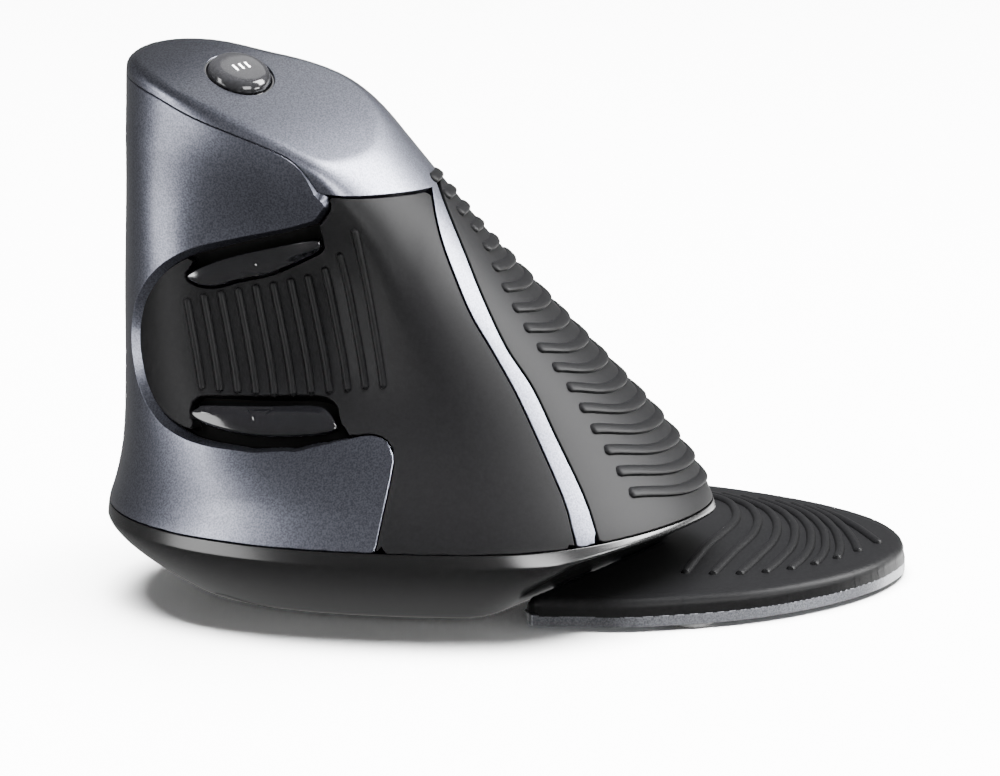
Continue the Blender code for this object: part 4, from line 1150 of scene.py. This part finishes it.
# ---- camera, stage and lights ----
def add_camera():
    """Camera at the photograph's viewing angle."""
    a, e = math.radians(CAMERA_AZIMUTH), math.radians(CAMERA_ELEVATION)
    look = Vector((math.cos(a) * math.cos(e), math.sin(a) * math.cos(e), -math.sin(e)))
    right = Vector((math.sin(a), -math.cos(a), 0))
    up = right.cross(look)
    data = bpy.data.cameras.new("camera")
    data.lens = LENS
    data.sensor_width = 36.0
    data.clip_end = 50.0
    camera = bpy.data.objects.new("camera", data)
    place = (Vector(CAMERA_TARGET) + Vector(SHIFT) - look * CAMERA_DISTANCE) * MM
    camera.matrix_world = Matrix((
        (right.x, up.x, -look.x, place.x), (right.y, up.y, -look.y, place.y),
        (right.z, up.z, -look.z, place.z), (0, 0, 0, 1)))
    bpy.context.collection.objects.link(camera)
    bpy.context.scene.camera = camera


def add_area(name, at, aim, size, power, matt, glossy):
    """Soft box pointed at a place; metres in the frame's axes."""
    data = bpy.data.lights.new(name, "AREA")
    data.shape = "RECTANGLE"
    data.size, data.size_y = size
    data.energy = power
    made = bpy.data.objects.new(name, data)
    made.location = at
    made.visible_diffuse = matt
    made.visible_glossy = glossy
    direction = Vector(aim) - Vector(at)
    made.rotation_euler = direction.to_track_quat("-Z", "Y").to_euler()
    bpy.context.collection.objects.link(made)


def light_world(tree):
    """Grey studio, brighter low at the right rear, as the palm rest's rim shows."""
    sky = tree.nodes["Background"]
    sky.inputs["Strength"].default_value = WORLD_STRENGTH
    place = add_node(tree, "ShaderNodeTexCoord")
    facing = add_node(tree, "ShaderNodeVectorMath")
    facing.operation = "DOT_PRODUCT"
    facing.inputs[1].default_value = RIM_GLOW_TOWARDS
    tree.links.new(place.outputs["Generated"], facing.inputs[0])
    add_ramp(tree, facing.outputs["Value"], (1, 1, 1), (RIM_GLOW,) * 3, RIM_GLOW_SPAN,
             sky.inputs["Color"])


def add_stage():
    """Pale floor, soft boxes and a grey studio."""
    look, shader, tree = new_look("pale_floor", Roughness=0.5)
    add_tint(tree, shader, grain(tree, 30.0).outputs["Fac"], (0.89, 0.89, 0.89), (0.9, 0.9, 0.9))
    corners = np.array([(-1, -1, 0), (1, -1, 0), (1, 1, 0), (-1, 1, 0)]) * FLOOR_HALF
    floor = make_mesh("studio_floor", corners, np.array([[0, 1, 2, 3]]), look=look)
    floor.visible_glossy = False
    floor.visible_shadow = False
    world = bpy.data.worlds.new("studio")
    world.use_nodes = True
    light_world(world.node_tree)
    bpy.context.scene.world = world
    for name, at, size, power, matt, glossy in SOFT_BOXES:
        add_area(name, at, (0, 0, 0.03), size, power, matt, glossy)


PAINT = metallic_paint("silver_grey_paint", (0.055, 0.057, 0.071), (0.098, 0.102, 0.124), 0.38)
BAND = metallic_paint("band_paint", (0.05, 0.051, 0.056), (0.09, 0.092, 0.1), 0.42)
SATIN = plastic("satin_black", (0.003, 0.003, 0.0032), 0.45, specular=0.042)
RUBBER_LOOK = plastic("grip_rubber", (0.0026, 0.0026, 0.0028), 0.48, specular=0.055)
GLOSS = plastic("gloss_black", (0.003, 0.003, 0.0035), 0.12, relief=0.0)
CAP_LOOK = plastic("cap_black", (0.009, 0.009, 0.0098), 0.12, relief=0.0, specular=0.25)
KEY_LOOK = plastic("key_black", (0.002, 0.002, 0.0024), 0.14, relief=0.0)
BASE_LOOK = plastic("base_black", (0.001, 0.001, 0.0011), 0.26, relief=0.04, specular=0.35)
# Painted shade: near-black, matt and barely reflective so the key wells read as deep shadow
WELL_SHADE_LOOK = plastic("well_painted_shade", (0.0006, 0.0006, 0.0006), 0.9, specular=0.08)
WHITE_INK = plastic("white_ink", (0.75, 0.75, 0.75), 0.5, relief=0.05)
BOARD = plastic("board_green", (0.01, 0.09, 0.04), 0.35, grain_size=900.0)
MATTE = plastic("moulded_black", (0.008, 0.008, 0.0088), 0.5, specular=0.2)
TYRE = plastic("wheel_rubber", (0.004, 0.004, 0.0044), 0.7, grain_size=1800.0, specular=0.1)
STEEL = metal("bright_steel", (0.6, 0.6, 0.62), 0.25)
DARK_STEEL = metal("screw_steel", (0.12, 0.12, 0.12), 0.35)
CLEAR = clear("clear_lens", (0.85, 0.9, 0.95))
RED_CLEAR = clear("lamp_red", (0.9, 0.15, 0.08))
RED = plastic("knob_red", (0.4, 0.03, 0.025), 0.4)
LATCH = plastic("latch_grey", (0.03, 0.03, 0.032), 0.45, specular=0.2)
CELL = metal("cell_wrap", (0.06, 0.1, 0.25), 0.3)
SLICK = plastic("slick_pad", (0.035, 0.035, 0.038), 0.4)
SOFT = plastic("soft_pad", (0.03, 0.03, 0.03), 0.8)

INNER_LOOKS = (
    (CELL, ("battery_cell",)),
    (STEEL, ("battery_plate", "battery_spring", "receiver_plug", "timing_crystal")),
    (DARK_STEEL, ("case_screw_a", "case_screw_b")),
    (MATTE, ("chassis_frame", "controller_chip", "lower_finger_switch", "lower_thumb_switch",
             "power_switch_body", "radio_chip", "top_key_switch", "tracking_sensor",
             "upper_finger_switch", "upper_thumb_switch", "usb_receiver", "wheel_cradle",
             "wheel_hub", "wheel_switch")),
    (BOARD, ("finger_board", "main_board", "thumb_board", "top_key_board", "wheel_encoder")),
    (SLICK, ("glide_foot_door", "glide_foot_front", "glide_foot_rear", "glide_foot_right")),
    (LATCH, ("palm_latch",)),
    (SOFT, ("palm_pad_left", "palm_pad_rear", "palm_pad_right")),
    (RED, ("power_switch_knob",)),
    (RED_CLEAR, ("sensor_lamp",)),
    (CLEAR, ("sensor_lens",)),
    (TYRE, ("wheel_tyre",)))

add_camera()
build_shells()
build_thumb_keys()
build_key_wells()
build_thumb_ribs()
build_back_ribs()
build_palm_rest()
build_round_key()
dress_inner_parts()
add_stage()
